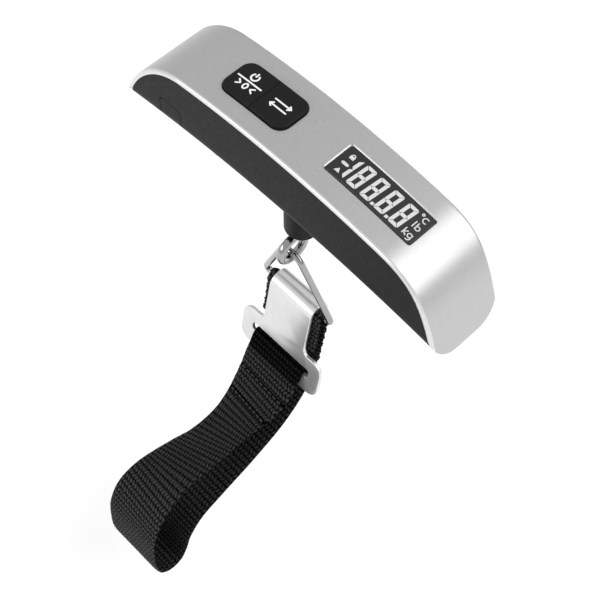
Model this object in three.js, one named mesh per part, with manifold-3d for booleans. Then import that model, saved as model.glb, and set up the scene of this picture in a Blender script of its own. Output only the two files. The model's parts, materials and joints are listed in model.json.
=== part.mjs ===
// Digital luggage scale: a handle-shaped housing with a silver cover band, two keys and a display,
// a load eye in a neck below it, a triangular ring, and a webbing loop with a T-shaped hook plate.
//
// Millimetres, +Z up. X runs along the handle, keys towards -X and display towards +X. The origin is
// on the load axis, at the height of the lower edges of the housing's ends. The chain below the neck
// is drawn as it hangs beside the handle, with the webbing loop thrown forward, towards -Y.

import * as THREE from 'three';
import { mergeVertices } from 'three/addons/utils/BufferGeometryUtils.js';
import Module from 'manifold-3d';

const wasm = await Module();
wasm.setup();

// ---------- driving dimensions ----------

const GAP = 0.3;                       // clearance between touching pieces

const WIDTH = 32;                      // handle, across
const HALF_LENGTH = 82;                // handle, centre to the tip of either end
const CROWN = 33.5;                    // top of the cover at the middle
const CROWN_RADIUS = 367;              // lengthwise curve of the cover
const LIP = -9.5;                      // lowest point of the cover's ends
const COVER_WALL = 1.8;
const RIM_BEVEL = 1.2;                 // rolled edge of the cover band
const RIM_STEP = 0.3;                  // the cover stands this much proud of the housing's sides
const HOUSING_WALL = 2;
const KEY_END = { x: -46, pull: 22 };  // where the crown meets the end curve, and its fullness
const DISPLAY_END = { x: 52, pull: 30 };
const CROWN_PULL = 16;
const END_LEAN = { x: 0.27, z: 0.96 }; // direction of the end walls at their lower edges
const BELLY_LOW = -8.5;                // underside of the housing at its ends
const BELLY_RISE = 5.6;                // how much the underside arches up at the middle
const BELLY_SPAN = 77;                 // half length of that arch
const BELLY_CORNER = 11;               // roundness of the underside, across

const DISPLAY = { x: 36.7, length: 39.6, width: 13.4, thick: 1.5, corner: 0.8 };
const KEYPAD = { x: -18.8, length: 31.4, width: 15.9, corner: 4.5, rise: 1.2, split: 0.4 };
const KEY_FLANGE = { reach: 1.4, thick: 0.8 };
const KEY_TRAVEL = 0.7;
const DOME = { r: 3.2, high: 1.1 };    // metal dome switches under the keys
const SCREW_POSTS = [[-32, 11.5], [-32, -11.5], [48, 11.5], [48, -11.5]];

const BOARD = { x0: -40, x1: 58, halfWidth: 9, z: 19, thick: 1.2 };
const CELL_BEAM = { x0: -6, x1: 38, halfWidth: 5, z0: 4, z1: 14, slotX0: 12, slotX1: 19, slotR: 3.6 };
const CELL_SCREWS = [28.5, 35];        // X of the two screws that hold the load cell's fixed end
const COIN = { x: -49, y: -1, r: 10, z: -0.4, thick: 3.2 };
const DOOR = { x0: -62, x1: -36, yFar: 13, top: 2.5, tabX0: -59.3, tabX1: -48.1, tabTop: 11, tabR: 2.4 };
const HINGE = { y: 13.15, z: -2.3, sweep: 5.1, notch: 0.95 };  // battery door's hinge line and its clearances

const NECK = { r: 7.1, bottom: -26.9, bore: 5.6, floor: 1.7, flangeR: 8.3, flangeZ: 0.4, flangeHigh: 1.4 };
const PIN_Z = -21;                     // axis of the pin that carries the load eye
const PIN_R = 1.5;
const EYE = { r: 6.1, wire: 1.9, drop: 16, shank: 2.3, boss: 3.4, bossHalf: 2.6 };
const EYE_TILT = -18.7;                // degrees about X, from straight down
const RING = { wire: 1.4, height: 37.7, halfBase: 19.2, legInset: 4.6, apexR: 6, cornerR: 3.2 };
const RING_TILT = 6.44;
const PLATE = { thick: 1.6, neck: 12, ears: 23.4, shoulder: 21, foot: 45.5 };
const PLATE_SLOT = { half: 17, top: 31.3, high: 5 };
const PLATE_TILT = -10.25;
const HOOK_LIP = 3.5;
const WEBBING = { width: 30, thick: 1.6 };
const LOOP_TAIL = 22;                  // length of the tail sewn below the strap's loop on the ring

// ---------- helpers: solids and booleans ----------

function solidOf(geometry) {
  const plain = geometry.clone();
  plain.deleteAttribute('normal');
  plain.deleteAttribute('uv');
  const merged = mergeVertices(plain, 1e-4);
  const vertProperties = new Float32Array(merged.attributes.position.array);
  const triVerts = new Uint32Array(merged.index.array);
  return new wasm.Manifold(new wasm.Mesh({ numProp: 3, vertProperties, triVerts }));
}

function geometryOf(solid) {
  const mesh = solid.getMesh();
  const geometry = new THREE.BufferGeometry();
  geometry.setAttribute('position', new THREE.BufferAttribute(new Float32Array(mesh.vertProperties), 3));
  geometry.setIndex(new THREE.BufferAttribute(new Uint32Array(mesh.triVerts), 1));
  geometry.computeVertexNormals();
  return geometry;
}

const cut = (solid, ...tools) => tools.reduce((left, tool) => left.subtract(tool), solid);
const join = (solid, ...others) => others.reduce((sum, other) => sum.add(other), solid);

const AXIS = { X: new THREE.Vector3(1, 0, 0), Y: new THREE.Vector3(0, 1, 0), Z: new THREE.Vector3(0, 0, 1) };

// Extrudes a shape drawn in the X-Z plane from y0 to y1, with an optional rolled edge.
function extrudeXZ(shape, y0, y1, bevel = 0) {
  const bevelOptions = { bevelThickness: bevel, bevelSize: bevel, bevelOffset: -bevel, bevelSegments: 2 };
  const options = { depth: y1 - y0 - 2 * bevel, steps: 1, curveSegments: 10, bevelEnabled: bevel > 0 };
  const geometry = new THREE.ExtrudeGeometry(shape, { ...options, ...bevelOptions });
  const turn = new THREE.Matrix4().makeBasis(AXIS.X, AXIS.Z, AXIS.Y.clone().negate());
  return geometry.applyMatrix4(turn).translate(0, y1 - bevel, 0);
}

// Extrudes a shape drawn in the Y-Z plane from x0 to x1.
function extrudeYZ(shape, x0, x1) {
  const options = { depth: x1 - x0, steps: 1, curveSegments: 10, bevelEnabled: false };
  const geometry = new THREE.ExtrudeGeometry(shape, options);
  return geometry.applyMatrix4(new THREE.Matrix4().makeBasis(AXIS.Y, AXIS.Z, AXIS.X)).translate(x0, 0, 0);
}

// Extrudes a shape drawn in the X-Y plane from z0 to z1.
function extrudeXY(shape, z0, z1) {
  const options = { depth: z1 - z0, steps: 1, curveSegments: 5, bevelEnabled: false };
  return new THREE.ExtrudeGeometry(shape, options).translate(0, 0, z0);
}

function box(x0, x1, y0, y1, z0, z1) {
  const geometry = new THREE.BoxGeometry(x1 - x0, y1 - y0, z1 - z0);
  return geometry.translate((x0 + x1) / 2, (y0 + y1) / 2, (z0 + z1) / 2);
}

// A turned piece on a vertical axis: profile is a list of [radius, z], from the axis back to the axis.
function turned(profile, x, y, segments = 18) {
  const points = profile.map(([r, z]) => new THREE.Vector2(r, z));
  return new THREE.LatheGeometry(points, segments).rotateX(Math.PI / 2).translate(x, y, 0);
}

function disc(r, z0, z1, x, y, segments = 24) {
  return turned([[0, z0], [r, z0], [r, z1], [0, z1]], x, y, segments);
}

function pinAlongX(r, x0, x1, y, z, segments = 16) {
  const geometry = new THREE.CylinderGeometry(r, r, x1 - x0, segments);
  return geometry.rotateZ(Math.PI / 2).translate((x0 + x1) / 2, y, z);
}

function polygon(points) {
  return new THREE.Shape(points.map(([a, b]) => new THREE.Vector2(a, b)));
}

function roundedRect(x0, x1, y0, y1, r, left = true, right = true) {
  const shape = new THREE.Shape();
  const rl = left ? r : 0.01;
  const rr = right ? r : 0.01;
  shape.moveTo(x0 + rl, y0);
  shape.lineTo(x1 - rr, y0);
  shape.absarc(x1 - rr, y0 + rr, rr, -Math.PI / 2, 0, false);
  shape.lineTo(x1, y1 - rr);
  shape.absarc(x1 - rr, y1 - rr, rr, 0, Math.PI / 2, false);
  shape.lineTo(x0 + rl, y1);
  shape.absarc(x0 + rl, y1 - rl, rl, Math.PI / 2, Math.PI, false);
  shape.lineTo(x0, y0 + rl);
  shape.absarc(x0 + rl, y0 + rl, rl, Math.PI, 1.5 * Math.PI, false);
  return shape;
}

// Joins rings of equal point count, each a list of THREE.Vector3, into one closed body.
function loft(rings) {
  const count = rings[0].length;
  const positions = rings.flat().flatMap((point) => [point.x, point.y, point.z]);
  const index = [];
  for (let ring = 0; ring + 1 < rings.length; ring += 1) {
    for (let k = 0; k < count; k += 1) {
      const a = ring * count + k;
      const b = ring * count + ((k + 1) % count);
      index.push(a, b, b + count, a, b + count, a + count);
    }
  }
  const last = (rings.length - 1) * count;
  for (let k = 1; k + 1 < count; k += 1) {
    index.push(0, k + 1, k);
    index.push(last, last + k, last + k + 1);
  }
  const geometry = new THREE.BufferGeometry();
  geometry.setAttribute('position', new THREE.BufferAttribute(new Float32Array(positions), 3));
  geometry.setIndex(index);
  geometry.computeVertexNormals();
  return geometry;
}

// ---------- the handle's outlines ----------

const crownAt = (x) => CROWN - (x * x) / (2 * CROWN_RADIUS);
const crownSlope = (x) => -x / CROWN_RADIUS;
const bellyAt = (x) => BELLY_LOW + BELLY_RISE * Math.max(0, 1 - (x / BELLY_SPAN) ** 2);

// A point a little way along the crown's tangent at x, towards the end of the handle.
function crownHandle(x, pull) {
  return new THREE.Vector2(x + pull, crownAt(x) + pull * crownSlope(x));
}

// Side outline of the cover: two end curves of different fullness, joined by the long crown.
function coverOutline() {
  const left = new THREE.CubicBezierCurve(
    new THREE.Vector2(-HALF_LENGTH, LIP),
    new THREE.Vector2(-HALF_LENGTH + KEY_END.pull * END_LEAN.x, LIP + KEY_END.pull * END_LEAN.z),
    crownHandle(KEY_END.x, -CROWN_PULL),
    crownHandle(KEY_END.x, 0),
  );
  const right = new THREE.CubicBezierCurve(
    crownHandle(DISPLAY_END.x, 0),
    crownHandle(DISPLAY_END.x, CROWN_PULL),
    new THREE.Vector2(HALF_LENGTH - DISPLAY_END.pull * END_LEAN.x, LIP + DISPLAY_END.pull * END_LEAN.z),
    new THREE.Vector2(HALF_LENGTH, LIP),
  );
  const crown = [];
  const crownSteps = 8;
  for (let k = 1; k < crownSteps; k += 1) {
    const x = KEY_END.x + ((DISPLAY_END.x - KEY_END.x) * k) / crownSteps;
    crown.push(crownHandle(x, 0));
  }
  const endSteps = 11;
  return [...left.getPoints(endSteps), ...crown, ...right.getPoints(endSteps)];
}

// Moves an outline inwards (to its right-hand side, walking from -X to +X) by a distance.
function inset(points, distance) {
  return points.map((point, k) => {
    const before = points[Math.max(0, k - 1)];
    const after = points[Math.min(points.length - 1, k + 1)];
    const along = after.clone().sub(before).normalize();
    return new THREE.Vector2(point.x + along.y * distance, point.y - along.x * distance);
  });
}

// Closes an outline below, far enough down to be trimmed by the belly.
function closedBelow(points, depth) {
  const first = points[0];
  const last = points[points.length - 1];
  return new THREE.Shape([...points, new THREE.Vector2(last.x, depth), new THREE.Vector2(first.x, depth)]);
}

// The handle's cross-section swept along its arched underside: flat sides, rounded belly, open top.
function bellyEnvelope(halfWidth, lift, corner) {
  const rings = [];
  const steps = 14;
  const reach = 91;
  const above = 60;
  const cornerSteps = 5;
  for (let k = 0; k <= steps; k += 1) {
    const x = -reach + (2 * reach * k) / steps;
    const low = bellyAt(x) + lift;
    const ring = [new THREE.Vector3(x, halfWidth, above)];
    ring.push(new THREE.Vector3(x, -halfWidth, above));
    for (let side = -1; side <= 1; side += 2) {
      for (let j = 0; j <= cornerSteps; j += 1) {
        const turn = (Math.PI / 2) * (side < 0 ? j / cornerSteps : 1 - j / cornerSteps);
        const y = side * (halfWidth - corner + corner * Math.cos(turn));
        ring.push(new THREE.Vector3(x, y, low + corner - corner * Math.sin(turn)));
      }
    }
    rings.push(ring);
  }
  return solidOf(loft(rings));
}

const outline = coverOutline();
const housingHalf = WIDTH / 2 - RIM_STEP;
const outer = bellyEnvelope(WIDTH / 2 + 0.05, 0, BELLY_CORNER);
const housingEnvelope = bellyEnvelope(housingHalf, 0, BELLY_CORNER - RIM_STEP);
const inner = bellyEnvelope(housingHalf - HOUSING_WALL, HOUSING_WALL, BELLY_CORNER - HOUSING_WALL);

// ---------- cover, display and keys ----------

const keyHalf = KEYPAD.width / 2;
const padLeft = KEYPAD.x - KEYPAD.length / 2;
const padRight = KEYPAD.x + KEYPAD.length / 2;
const keyCentre = (side) => KEYPAD.x + side * (KEYPAD.length / 4 + KEYPAD.split / 4);
const boardTop = BOARD.z + BOARD.thick + GAP;

function windowCut(x, length, width, corner, clearance) {
  const l = length / 2 + clearance;
  const w = width / 2 + clearance;
  return solidOf(extrudeXY(roundedRect(x - l, x + l, -w, w, corner + clearance), 20, 50));
}

function topCover() {
  const band = solidOf(extrudeXZ(closedBelow(outline, -14), -WIDTH / 2, WIDTH / 2, RIM_BEVEL));
  const hollow = solidOf(extrudeXZ(closedBelow(inset(outline, COVER_WALL), -16), -20, 20));
  const shell = band.intersect(outer).subtract(hollow);
  const inside = solidOf(extrudeXZ(closedBelow(inset(outline, COVER_WALL - 0.4), -16), -20, 20));
  const posts = SCREW_POSTS.map(([x, y]) => solidOf(disc(2, 8, CROWN, x, y, 12)).intersect(inside));
  const holes = SCREW_POSTS.map(([x, y]) => solidOf(disc(1.25, 0, 25.5, x, y, 10)));
  return cut(
    join(shell, ...posts),
    ...holes,
    windowCut(DISPLAY.x, DISPLAY.length, DISPLAY.width, DISPLAY.corner, GAP),
    windowCut(KEYPAD.x, KEYPAD.length, KEYPAD.width, KEYPAD.corner, GAP),
  );
}

// A slab that follows the crown between two depths below it.
function crownSlab(x0, x1, top, bottom, halfWidth) {
  const points = [];
  const steps = 5;
  for (let k = 0; k <= steps; k += 1) {
    const x = x0 + ((x1 - x0) * k) / steps;
    points.push([x, crownAt(x) + top]);
  }
  for (let k = steps; k >= 0; k -= 1) {
    const x = x0 + ((x1 - x0) * k) / steps;
    points.push([x, crownAt(x) + bottom]);
  }
  return solidOf(extrudeXZ(polygon(points), -halfWidth, halfWidth));
}

function displayLens() {
  const half = DISPLAY.length / 2;
  const slab = crownSlab(DISPLAY.x - half - 1, DISPLAY.x + half + 1, -0.15, -0.15 - DISPLAY.thick, 10);
  return slab.intersect(windowCut(DISPLAY.x, DISPLAY.length, DISPLAY.width, DISPLAY.corner, 0));
}

// A push key: raised cap, a flange that stays under the cover, and a stem above its dome switch.
function key(x0, x1, roundLeft, roundRight) {
  const reach = KEY_FLANGE.reach;
  const left = roundLeft ? reach : 0;
  const right = roundRight ? reach : 0;
  const corner = KEYPAD.corner;
  const capPlan = roundedRect(x0, x1, -keyHalf, keyHalf, corner, roundLeft, roundRight);
  const flangePlan = roundedRect(
    x0 - left, x1 + right, -keyHalf - reach, keyHalf + reach, corner + reach, roundLeft, roundRight);
  const under = -COVER_WALL - GAP;
  const bottom = under - KEY_FLANGE.thick;
  const cap = crownSlab(x0 - 1, x1 + 1, KEYPAD.rise, bottom, WIDTH / 2)
    .intersect(solidOf(extrudeXY(capPlan, 20, 50)));
  const flange = crownSlab(x0 - 3, x1 + 3, under, bottom, WIDTH / 2)
    .intersect(solidOf(extrudeXY(flangePlan, 20, 50)));
  const middle = (x0 + x1) / 2;
  const stemFoot = boardTop + DOME.high + KEY_TRAVEL + GAP / 2;
  const stem = solidOf(disc(2, stemFoot, crownAt(middle) - 2, middle, 0, 20));
  return join(cap, flange, stem);
}

// ---------- lower housing, neck and battery door ----------

// The room that the battery door and its finger tab take up, grown by a clearance.
function doorRegion(clearance) {
  const c = clearance;
  const plate = solidOf(box(DOOR.x0 - c, DOOR.x1 + c, -20, DOOR.yFar + c, -20, DOOR.top + c));
  const left = DOOR.tabX0 - c;
  const right = DOOR.tabX1 + c;
  const top = DOOR.tabTop + c;
  const r = DOOR.tabR;
  const tab = new THREE.Shape();
  tab.moveTo(left, 0);
  tab.lineTo(right, 0);
  tab.lineTo(right, top - r);
  tab.absarc(right - r, top - r, r, 0, Math.PI / 2, false);
  tab.lineTo(left + r, top);
  tab.absarc(left + r, top - r, r, Math.PI / 2, Math.PI, false);
  return plate.add(solidOf(extrudeXZ(tab, -20, -10)));
}

// The tub: side walls and underside, open at the top under the cover.
function tubWalls() {
  const body = solidOf(extrudeXZ(closedBelow(inset(outline, COVER_WALL + GAP), -20), -20, 20));
  const inside = inset(outline, COVER_WALL + GAP + HOUSING_WALL);
  const room = solidOf(extrudeXZ(closedBelow(inside, -20), -20, 20));
  const mouth = solidOf(box(-58, 62, -20, 20, 5, 60));
  return body.intersect(housingEnvelope).subtract(room.add(mouth).intersect(inner));
}

// Round room along the door's hinge line.
function hingeRoom(r) {
  return solidOf(pinAlongX(r, DOOR.x0 - GAP, DOOR.x1 + GAP, HINGE.y, HINGE.z, 24));
}

// Ring and rib that hold the coin cell above the battery door, clear of the door's swing.
function coinWell() {
  const wall = HOUSING_WALL + GAP;
  const room = bellyEnvelope(housingHalf - wall, wall, BELLY_CORNER - wall);
  const ring = solidOf(disc(COIN.r + 2, COIN.z + 1.7, 5, COIN.x, COIN.y)).intersect(room);
  const rib = solidOf(box(-46.5, -42, -14, 14, DOOR.top + 0.5, 5));
  const cell = solidOf(disc(COIN.r + 0.4, -10, 8, COIN.x, COIN.y));
  return cut(join(ring, rib), cell, hingeRoom(HINGE.sweep));
}

function lowerHousing() {
  const pedestal = solidOf(box(25, 39, -6, 6, -4, CELL_BEAM.z0 - GAP)).intersect(housingEnvelope);
  const sockets = SCREW_POSTS.map(([x, y]) => solidOf(disc(3, -8, 7.4, x, y, 14)).intersect(housingEnvelope));
  const bores = SCREW_POSTS.map(([x, y]) => solidOf(disc(1.4, -20, 9, x, y, 10)));
  const recesses = SCREW_POSTS.map(([x, y]) => solidOf(disc(2.4, -20, 0.4, x, y, 14)));
  const beamBores = CELL_SCREWS.map((x) => solidOf(disc(0.9, -1.5, 6, x, 0, 16)));
  const neckHole = solidOf(disc(NECK.r + GAP, -20, NECK.flangeZ, 0, 0, 28));
  const walls = cut(join(tubWalls(), pedestal, ...sockets), doorRegion(GAP), hingeRoom(HINGE.notch));
  return cut(walls.add(coinWell()), neckHole, ...bores, ...recesses, ...beamBores);
}

function batteryDoor() {
  return tubWalls().intersect(doorRegion(0));
}

// Neck: a sleeve with a flange inside the housing and a slotted floor that lets the eye swing.
function neckCollar() {
  const flangeTop = NECK.flangeZ + NECK.flangeHigh;
  const profile = [[0, NECK.bottom], [NECK.r - 0.9, NECK.bottom], [NECK.r, NECK.bottom + 0.9]];
  profile.push([NECK.r, NECK.flangeZ], [NECK.flangeR, NECK.flangeZ]);
  profile.push([NECK.flangeR, flangeTop], [0, flangeTop]);
  const bore = solidOf(disc(NECK.bore, NECK.bottom + NECK.floor, 6, 0, 0));
  const slot = solidOf(extrudeXY(roundedRect(-2.7, 2.7, -5.6, 5.6, 2.6), NECK.bottom - 1, -20));
  return cut(solidOf(turned(profile, 0, 0, 28)), bore, slot);
}

// ---------- electronics ----------

function circuitBoard() {
  const plan = roundedRect(BOARD.x0, BOARD.x1, -BOARD.halfWidth, BOARD.halfWidth, 1.2);
  return solidOf(extrudeXY(plan, BOARD.z, BOARD.z + BOARD.thick));
}

const displayHalf = DISPLAY.length / 2;

function domeSwitch(x) {
  const profile = [[0, boardTop], [DOME.r, boardTop], [DOME.r - 0.1, boardTop + 0.35]];
  profile.push([DOME.r - 1, boardTop + 0.8], [0, boardTop + DOME.high]);
  return solidOf(turned(profile, x, 0, 20));
}

function keypadMembrane() {
  const plan = roundedRect(KEYPAD.x - 19, KEYPAD.x + 19, -10.4, 10.4, 3);
  const posts = SCREW_POSTS.map(([x, y]) => solidOf(disc(2.8, 20, 40, x, y, 16)));
  const stems = [-1, 1].map((side) => solidOf(disc(3, 20, 40, keyCentre(side), 0, 20)));
  return cut(solidOf(extrudeXY(plan, 26, 26.8)), ...posts, ...stems);
}

function lcdFrame() {
  const x0 = DISPLAY.x - displayHalf;
  const x1 = DISPLAY.x + displayHalf;
  const slab = crownSlab(x0 - 4, x1 + 4, -2.7, -6, 20);
  const plan = roundedRect(x0 - 2.2, x1 + 1.8, -9.2, 9.2, 1.2);
  const hole = roundedRect(x0 - 0.9, x1 + 0.9, -7.6, 7.6, 0.6);
  return slab.intersect(solidOf(extrudeXY(plan, 15, 45))).subtract(solidOf(extrudeXY(hole, 15, 45)));
}

function lcdLayer(top, bottom, halfWidth) {
  const x0 = DISPLAY.x - displayHalf - 0.6;
  const x1 = DISPLAY.x + displayHalf + 0.6;
  return crownSlab(x0, x1, top, bottom, halfWidth);
}

// Elastomer strip between the board and the underside of the glass, wedge-shaped along X.
function zebraStrip(y) {
  const x0 = DISPLAY.x - displayHalf;
  const x1 = DISPLAY.x + displayHalf;
  const top = -4.4 - GAP;
  const points = [[x0, boardTop], [x1, boardTop]];
  points.push(...[x1, DISPLAY.x, x0].map((x) => [x, crownAt(x) + top - 0.2]));
  return solidOf(extrudeXZ(polygon(points), y - 0.6, y + 0.6));
}

function batteryContact(z0, side) {
  const strip = solidOf(box(-52, -46, -1.5, 8, z0, z0 + 0.35));
  const leg = solidOf(box(-48, -46, 6.4, 8, z0, z0 + 8));
  return side > 0 ? join(strip, leg) : solidOf(box(-52, -46, -9, -3, z0, z0 + 0.35));
}

// ---------- load cell and suspension ----------

function loadCell() {
  const { x0, x1, halfWidth, z0, z1, slotX0, slotX1, slotR } = CELL_BEAM;
  const z = (z0 + z1) / 2;
  const beam = solidOf(box(x0, x1, -halfWidth, halfWidth, z0, z1));
  const slotShape = new THREE.Shape();
  slotShape.absarc(slotX0, z, slotR, Math.PI / 2, 1.5 * Math.PI, false);
  slotShape.absarc(slotX1, z, slotR, -Math.PI / 2, Math.PI / 2, false);
  const slot = solidOf(extrudeXZ(slotShape, -8, 8));
  const boltHole = solidOf(disc(1.9, 0, 20, 0, 0, 20));
  const screwHoles = CELL_SCREWS.map((x) => solidOf(disc(1.3, 0, 20, x, 0, 16)));
  return cut(beam, slot, boltHole, ...screwHoles);
}

function strainGauge(z0) {
  return solidOf(box(CELL_BEAM.slotX0, CELL_BEAM.slotX1, -2.4, 2.4, z0, z0 + 0.3));
}

// Pan-head screw that holds the load cell's fixed end to its pedestal.
function cellScrew(x) {
  const head = { r: 2.2, z: CELL_BEAM.z1 + GAP, top: CELL_BEAM.z1 + GAP + 1.6 };
  const shank = { r: 0.7, tip: 0.5 };
  const profile = [[0, shank.tip], [shank.r, shank.tip], [shank.r, head.z]];
  profile.push([head.r, head.z], [head.r - 0.3, head.top], [0, head.top]);
  return solidOf(turned(profile, x, 0, 12));
}

// Housing screw: head in the underside, thread up into the cover's post.
function housingScrew(x, y) {
  const profile = [[0, -1.2], [2, -1.2], [2, 0.1], [1, 0.1], [1, 24], [0, 24.8]];
  return solidOf(turned(profile, x, y, 10));
}

// Shackle: a block under the load cell with two cheeks that hold the eye pin.
function shackle() {
  const block = solidOf(box(-4.6, 4.6, -2.8, 2.8, -1, CELL_BEAM.z0 - GAP));
  const cheeks = [-1, 1].map((side) => {
    const near = Math.min(side * 3, side * 4.6);
    const far = Math.max(side * 3, side * 4.6);
    return solidOf(box(near, far, -2.6, 2.6, PIN_Z - 3, 0));
  });
  const tapped = solidOf(disc(1.7, -6, 8, 0, 0, 20));
  const pinHole = solidOf(pinAlongX(PIN_R + 0.15, -8, 8, 0, PIN_Z));
  return cut(join(block, ...cheeks), tapped, pinHole);
}

function shackleBolt() {
  const top = CELL_BEAM.z1 + GAP;
  const profile = [[0, -0.6], [1.4, -0.6], [1.4, top], [3.2, top], [3.2, top + 2.4], [0, top + 2.4]];
  return solidOf(turned(profile, 0, 0, 24));
}

// Load eye: round boss on the pin, short shank and a ring of round bar, hanging along -Z.
function loadEye() {
  const boss = solidOf(pinAlongX(EYE.boss, -EYE.bossHalf, EYE.bossHalf, 0, 0, 20));
  const shank = solidOf(disc(EYE.shank, -EYE.drop + EYE.r, 0, 0, 0, 20));
  const ring = solidOf(new THREE.TorusGeometry(EYE.r, EYE.wire, 10, 26).rotateY(Math.PI / 2));
  const bore = solidOf(pinAlongX(PIN_R + GAP / 2, -6, 6, 0, 0));
  return join(boss, shank, ring.translate([0, 0, -EYE.drop])).subtract(bore);
}

// ---------- ring, hook plate and webbing ----------

// Centre line of the bent-wire ring, hanging along -Z from the middle of its apex bend.
function ringPath() {
  const path = new THREE.CurvePath();
  const lean = Math.atan2(RING.halfBase - RING.legInset, RING.height - 3);
  const apexCentre = new THREE.Vector3(0, 0, -RING.apexR);
  const across = new THREE.Vector3(Math.cos(lean), 0, Math.sin(lean));
  const legTop = apexCentre.clone().addScaledVector(across, RING.apexR);
  const reach = RING.cornerR / Math.tan((Math.PI / 2 + lean) / 2 - lean);
  const corner = new THREE.Vector3(legTop.x + (RING.height + legTop.z) * Math.tan(lean), 0, -RING.height);
  const down = new THREE.Vector3(Math.sin(lean), 0, -Math.cos(lean));
  const legEnd = corner.clone().addScaledVector(down, -reach);
  const barEnd = corner.clone().setX(corner.x - reach);
  const mirror = (point) => new THREE.Vector3(-point.x, point.y, point.z);
  const bend = (a, b, c) => new THREE.QuadraticBezierCurve3(a, b, c);
  const apexTip = new THREE.Vector3(0, 0, 0);
  const apexSide = new THREE.Vector3(legTop.x + legTop.z * Math.tan(lean), 0, 0);
  path.add(bend(apexTip, apexSide, legTop));
  path.add(new THREE.LineCurve3(legTop, legEnd));
  path.add(bend(legEnd, corner, barEnd));
  path.add(new THREE.LineCurve3(barEnd, mirror(barEnd)));
  path.add(bend(mirror(barEnd), mirror(corner), mirror(legEnd)));
  path.add(new THREE.LineCurve3(mirror(legEnd), mirror(legTop)));
  path.add(bend(mirror(legTop), mirror(apexSide), apexTip));
  return path;
}

// Sweeps a round wire along a closed planar loop in the X-Z plane.
function closedWire(points, wire, sides) {
  const rings = points.map((point, k) => {
    const before = points[(k + points.length - 1) % points.length];
    const after = points[(k + 1) % points.length];
    const along = after.clone().sub(before).normalize();
    const across = new THREE.Vector3(along.z, 0, -along.x);
    const ring = [];
    for (let j = 0; j < sides; j += 1) {
      const turn = (2 * Math.PI * j) / sides;
      const offset = across.clone().multiplyScalar(Math.cos(turn) * wire);
      ring.push(point.clone().add(offset).setY(point.y + Math.sin(turn) * wire));
    }
    return ring;
  });
  const positions = rings.flat().flatMap((point) => [point.x, point.y, point.z]);
  const index = [];
  for (let ring = 0; ring < rings.length; ring += 1) {
    const next = (ring + 1) % rings.length;
    for (let j = 0; j < sides; j += 1) {
      const a = ring * sides + j;
      const b = ring * sides + ((j + 1) % sides);
      const c = next * sides + ((j + 1) % sides);
      const d = next * sides + j;
      index.push(a, b, c, a, c, d);
    }
  }
  const geometry = new THREE.BufferGeometry();
  geometry.setAttribute('position', new THREE.BufferAttribute(new Float32Array(positions), 3));
  geometry.setIndex(index);
  return geometry;
}

function triangleRing() {
  const points = [];
  for (const curve of ringPath().curves) {
    const steps = curve.isLineCurve3 ? 2 : 6;
    points.push(...curve.getPoints(steps).slice(0, -1));
  }
  return solidOf(closedWire(points, RING.wire, 10));
}

const hookInner = RING.wire + GAP + WEBBING.thick + GAP;
const hookOuter = hookInner + PLATE.thick;

// Hook plate, hanging along -Z from the ring's bar: a bend over the bar and a T-shaped slotted plate.
function hookPlate() {
  const side = new THREE.Shape();
  side.moveTo(-hookOuter, -6);
  side.lineTo(-hookOuter, 0);
  side.absarc(0, 0, hookOuter, Math.PI, 0, true);
  side.lineTo(hookOuter, -HOOK_LIP);
  side.lineTo(hookInner, -HOOK_LIP);
  side.absarc(0, 0, hookInner, 0, Math.PI, false);
  side.lineTo(-hookInner, -6);
  const bend = solidOf(extrudeYZ(side, -PLATE.neck, PLATE.neck));
  const face = new THREE.Shape();
  const half = (sign) => [[sign * PLATE.neck, -4], [sign * PLATE.neck, -PLATE.shoulder]];
  face.moveTo(...half(-1)[0]);
  face.lineTo(...half(-1)[1]);
  face.quadraticCurveTo(-PLATE.neck, -PLATE.shoulder - 2.6, -PLATE.neck - 3, -PLATE.shoulder - 2.6);
  face.lineTo(-PLATE.ears + 4, -PLATE.shoulder - 2.6);
  face.absarc(-PLATE.ears + 4, -PLATE.shoulder - 6.6, 4, Math.PI / 2, Math.PI, false);
  face.absarc(-PLATE.ears + 5, -PLATE.foot + 5, 5, Math.PI, 1.5 * Math.PI, false);
  face.absarc(PLATE.ears - 5, -PLATE.foot + 5, 5, -Math.PI / 2, 0, false);
  face.absarc(PLATE.ears - 4, -PLATE.shoulder - 6.6, 4, 0, Math.PI / 2, false);
  face.lineTo(PLATE.neck + 3, -PLATE.shoulder - 2.6);
  face.quadraticCurveTo(PLATE.neck, -PLATE.shoulder - 2.6, ...half(1)[1]);
  face.lineTo(...half(1)[0]);
  const flat = solidOf(extrudeXZ(face, -hookOuter, -hookInner));
  const { half: slotHalf, top: slotTop, high: slotHigh } = PLATE_SLOT;
  const slot = roundedRect(-slotHalf, slotHalf, -slotTop - slotHigh, -slotTop, 1.6);
  return join(bend, flat).subtract(solidOf(extrudeXZ(slot, -8, 0)));
}

// Sewn end of the webbing: one turn round the ring's bar and a tail beside the strap's back run.
function strapRingLoop() {
  const half = WEBBING.width / 2;
  const turn = new THREE.Shape();
  turn.absarc(0, 0, RING.wire + GAP + WEBBING.thick, 0, 2 * Math.PI, false);
  const tail = box(-half, half, -0.2, -0.2 + WEBBING.thick, -LOOP_TAIL, -2);
  const hole = solidOf(pinAlongX(RING.wire + GAP, -half - 1, half + 1, 0, 0, 24));
  return join(solidOf(extrudeYZ(turn, -half, half)), solidOf(tail)).subtract(hole);
}

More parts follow.
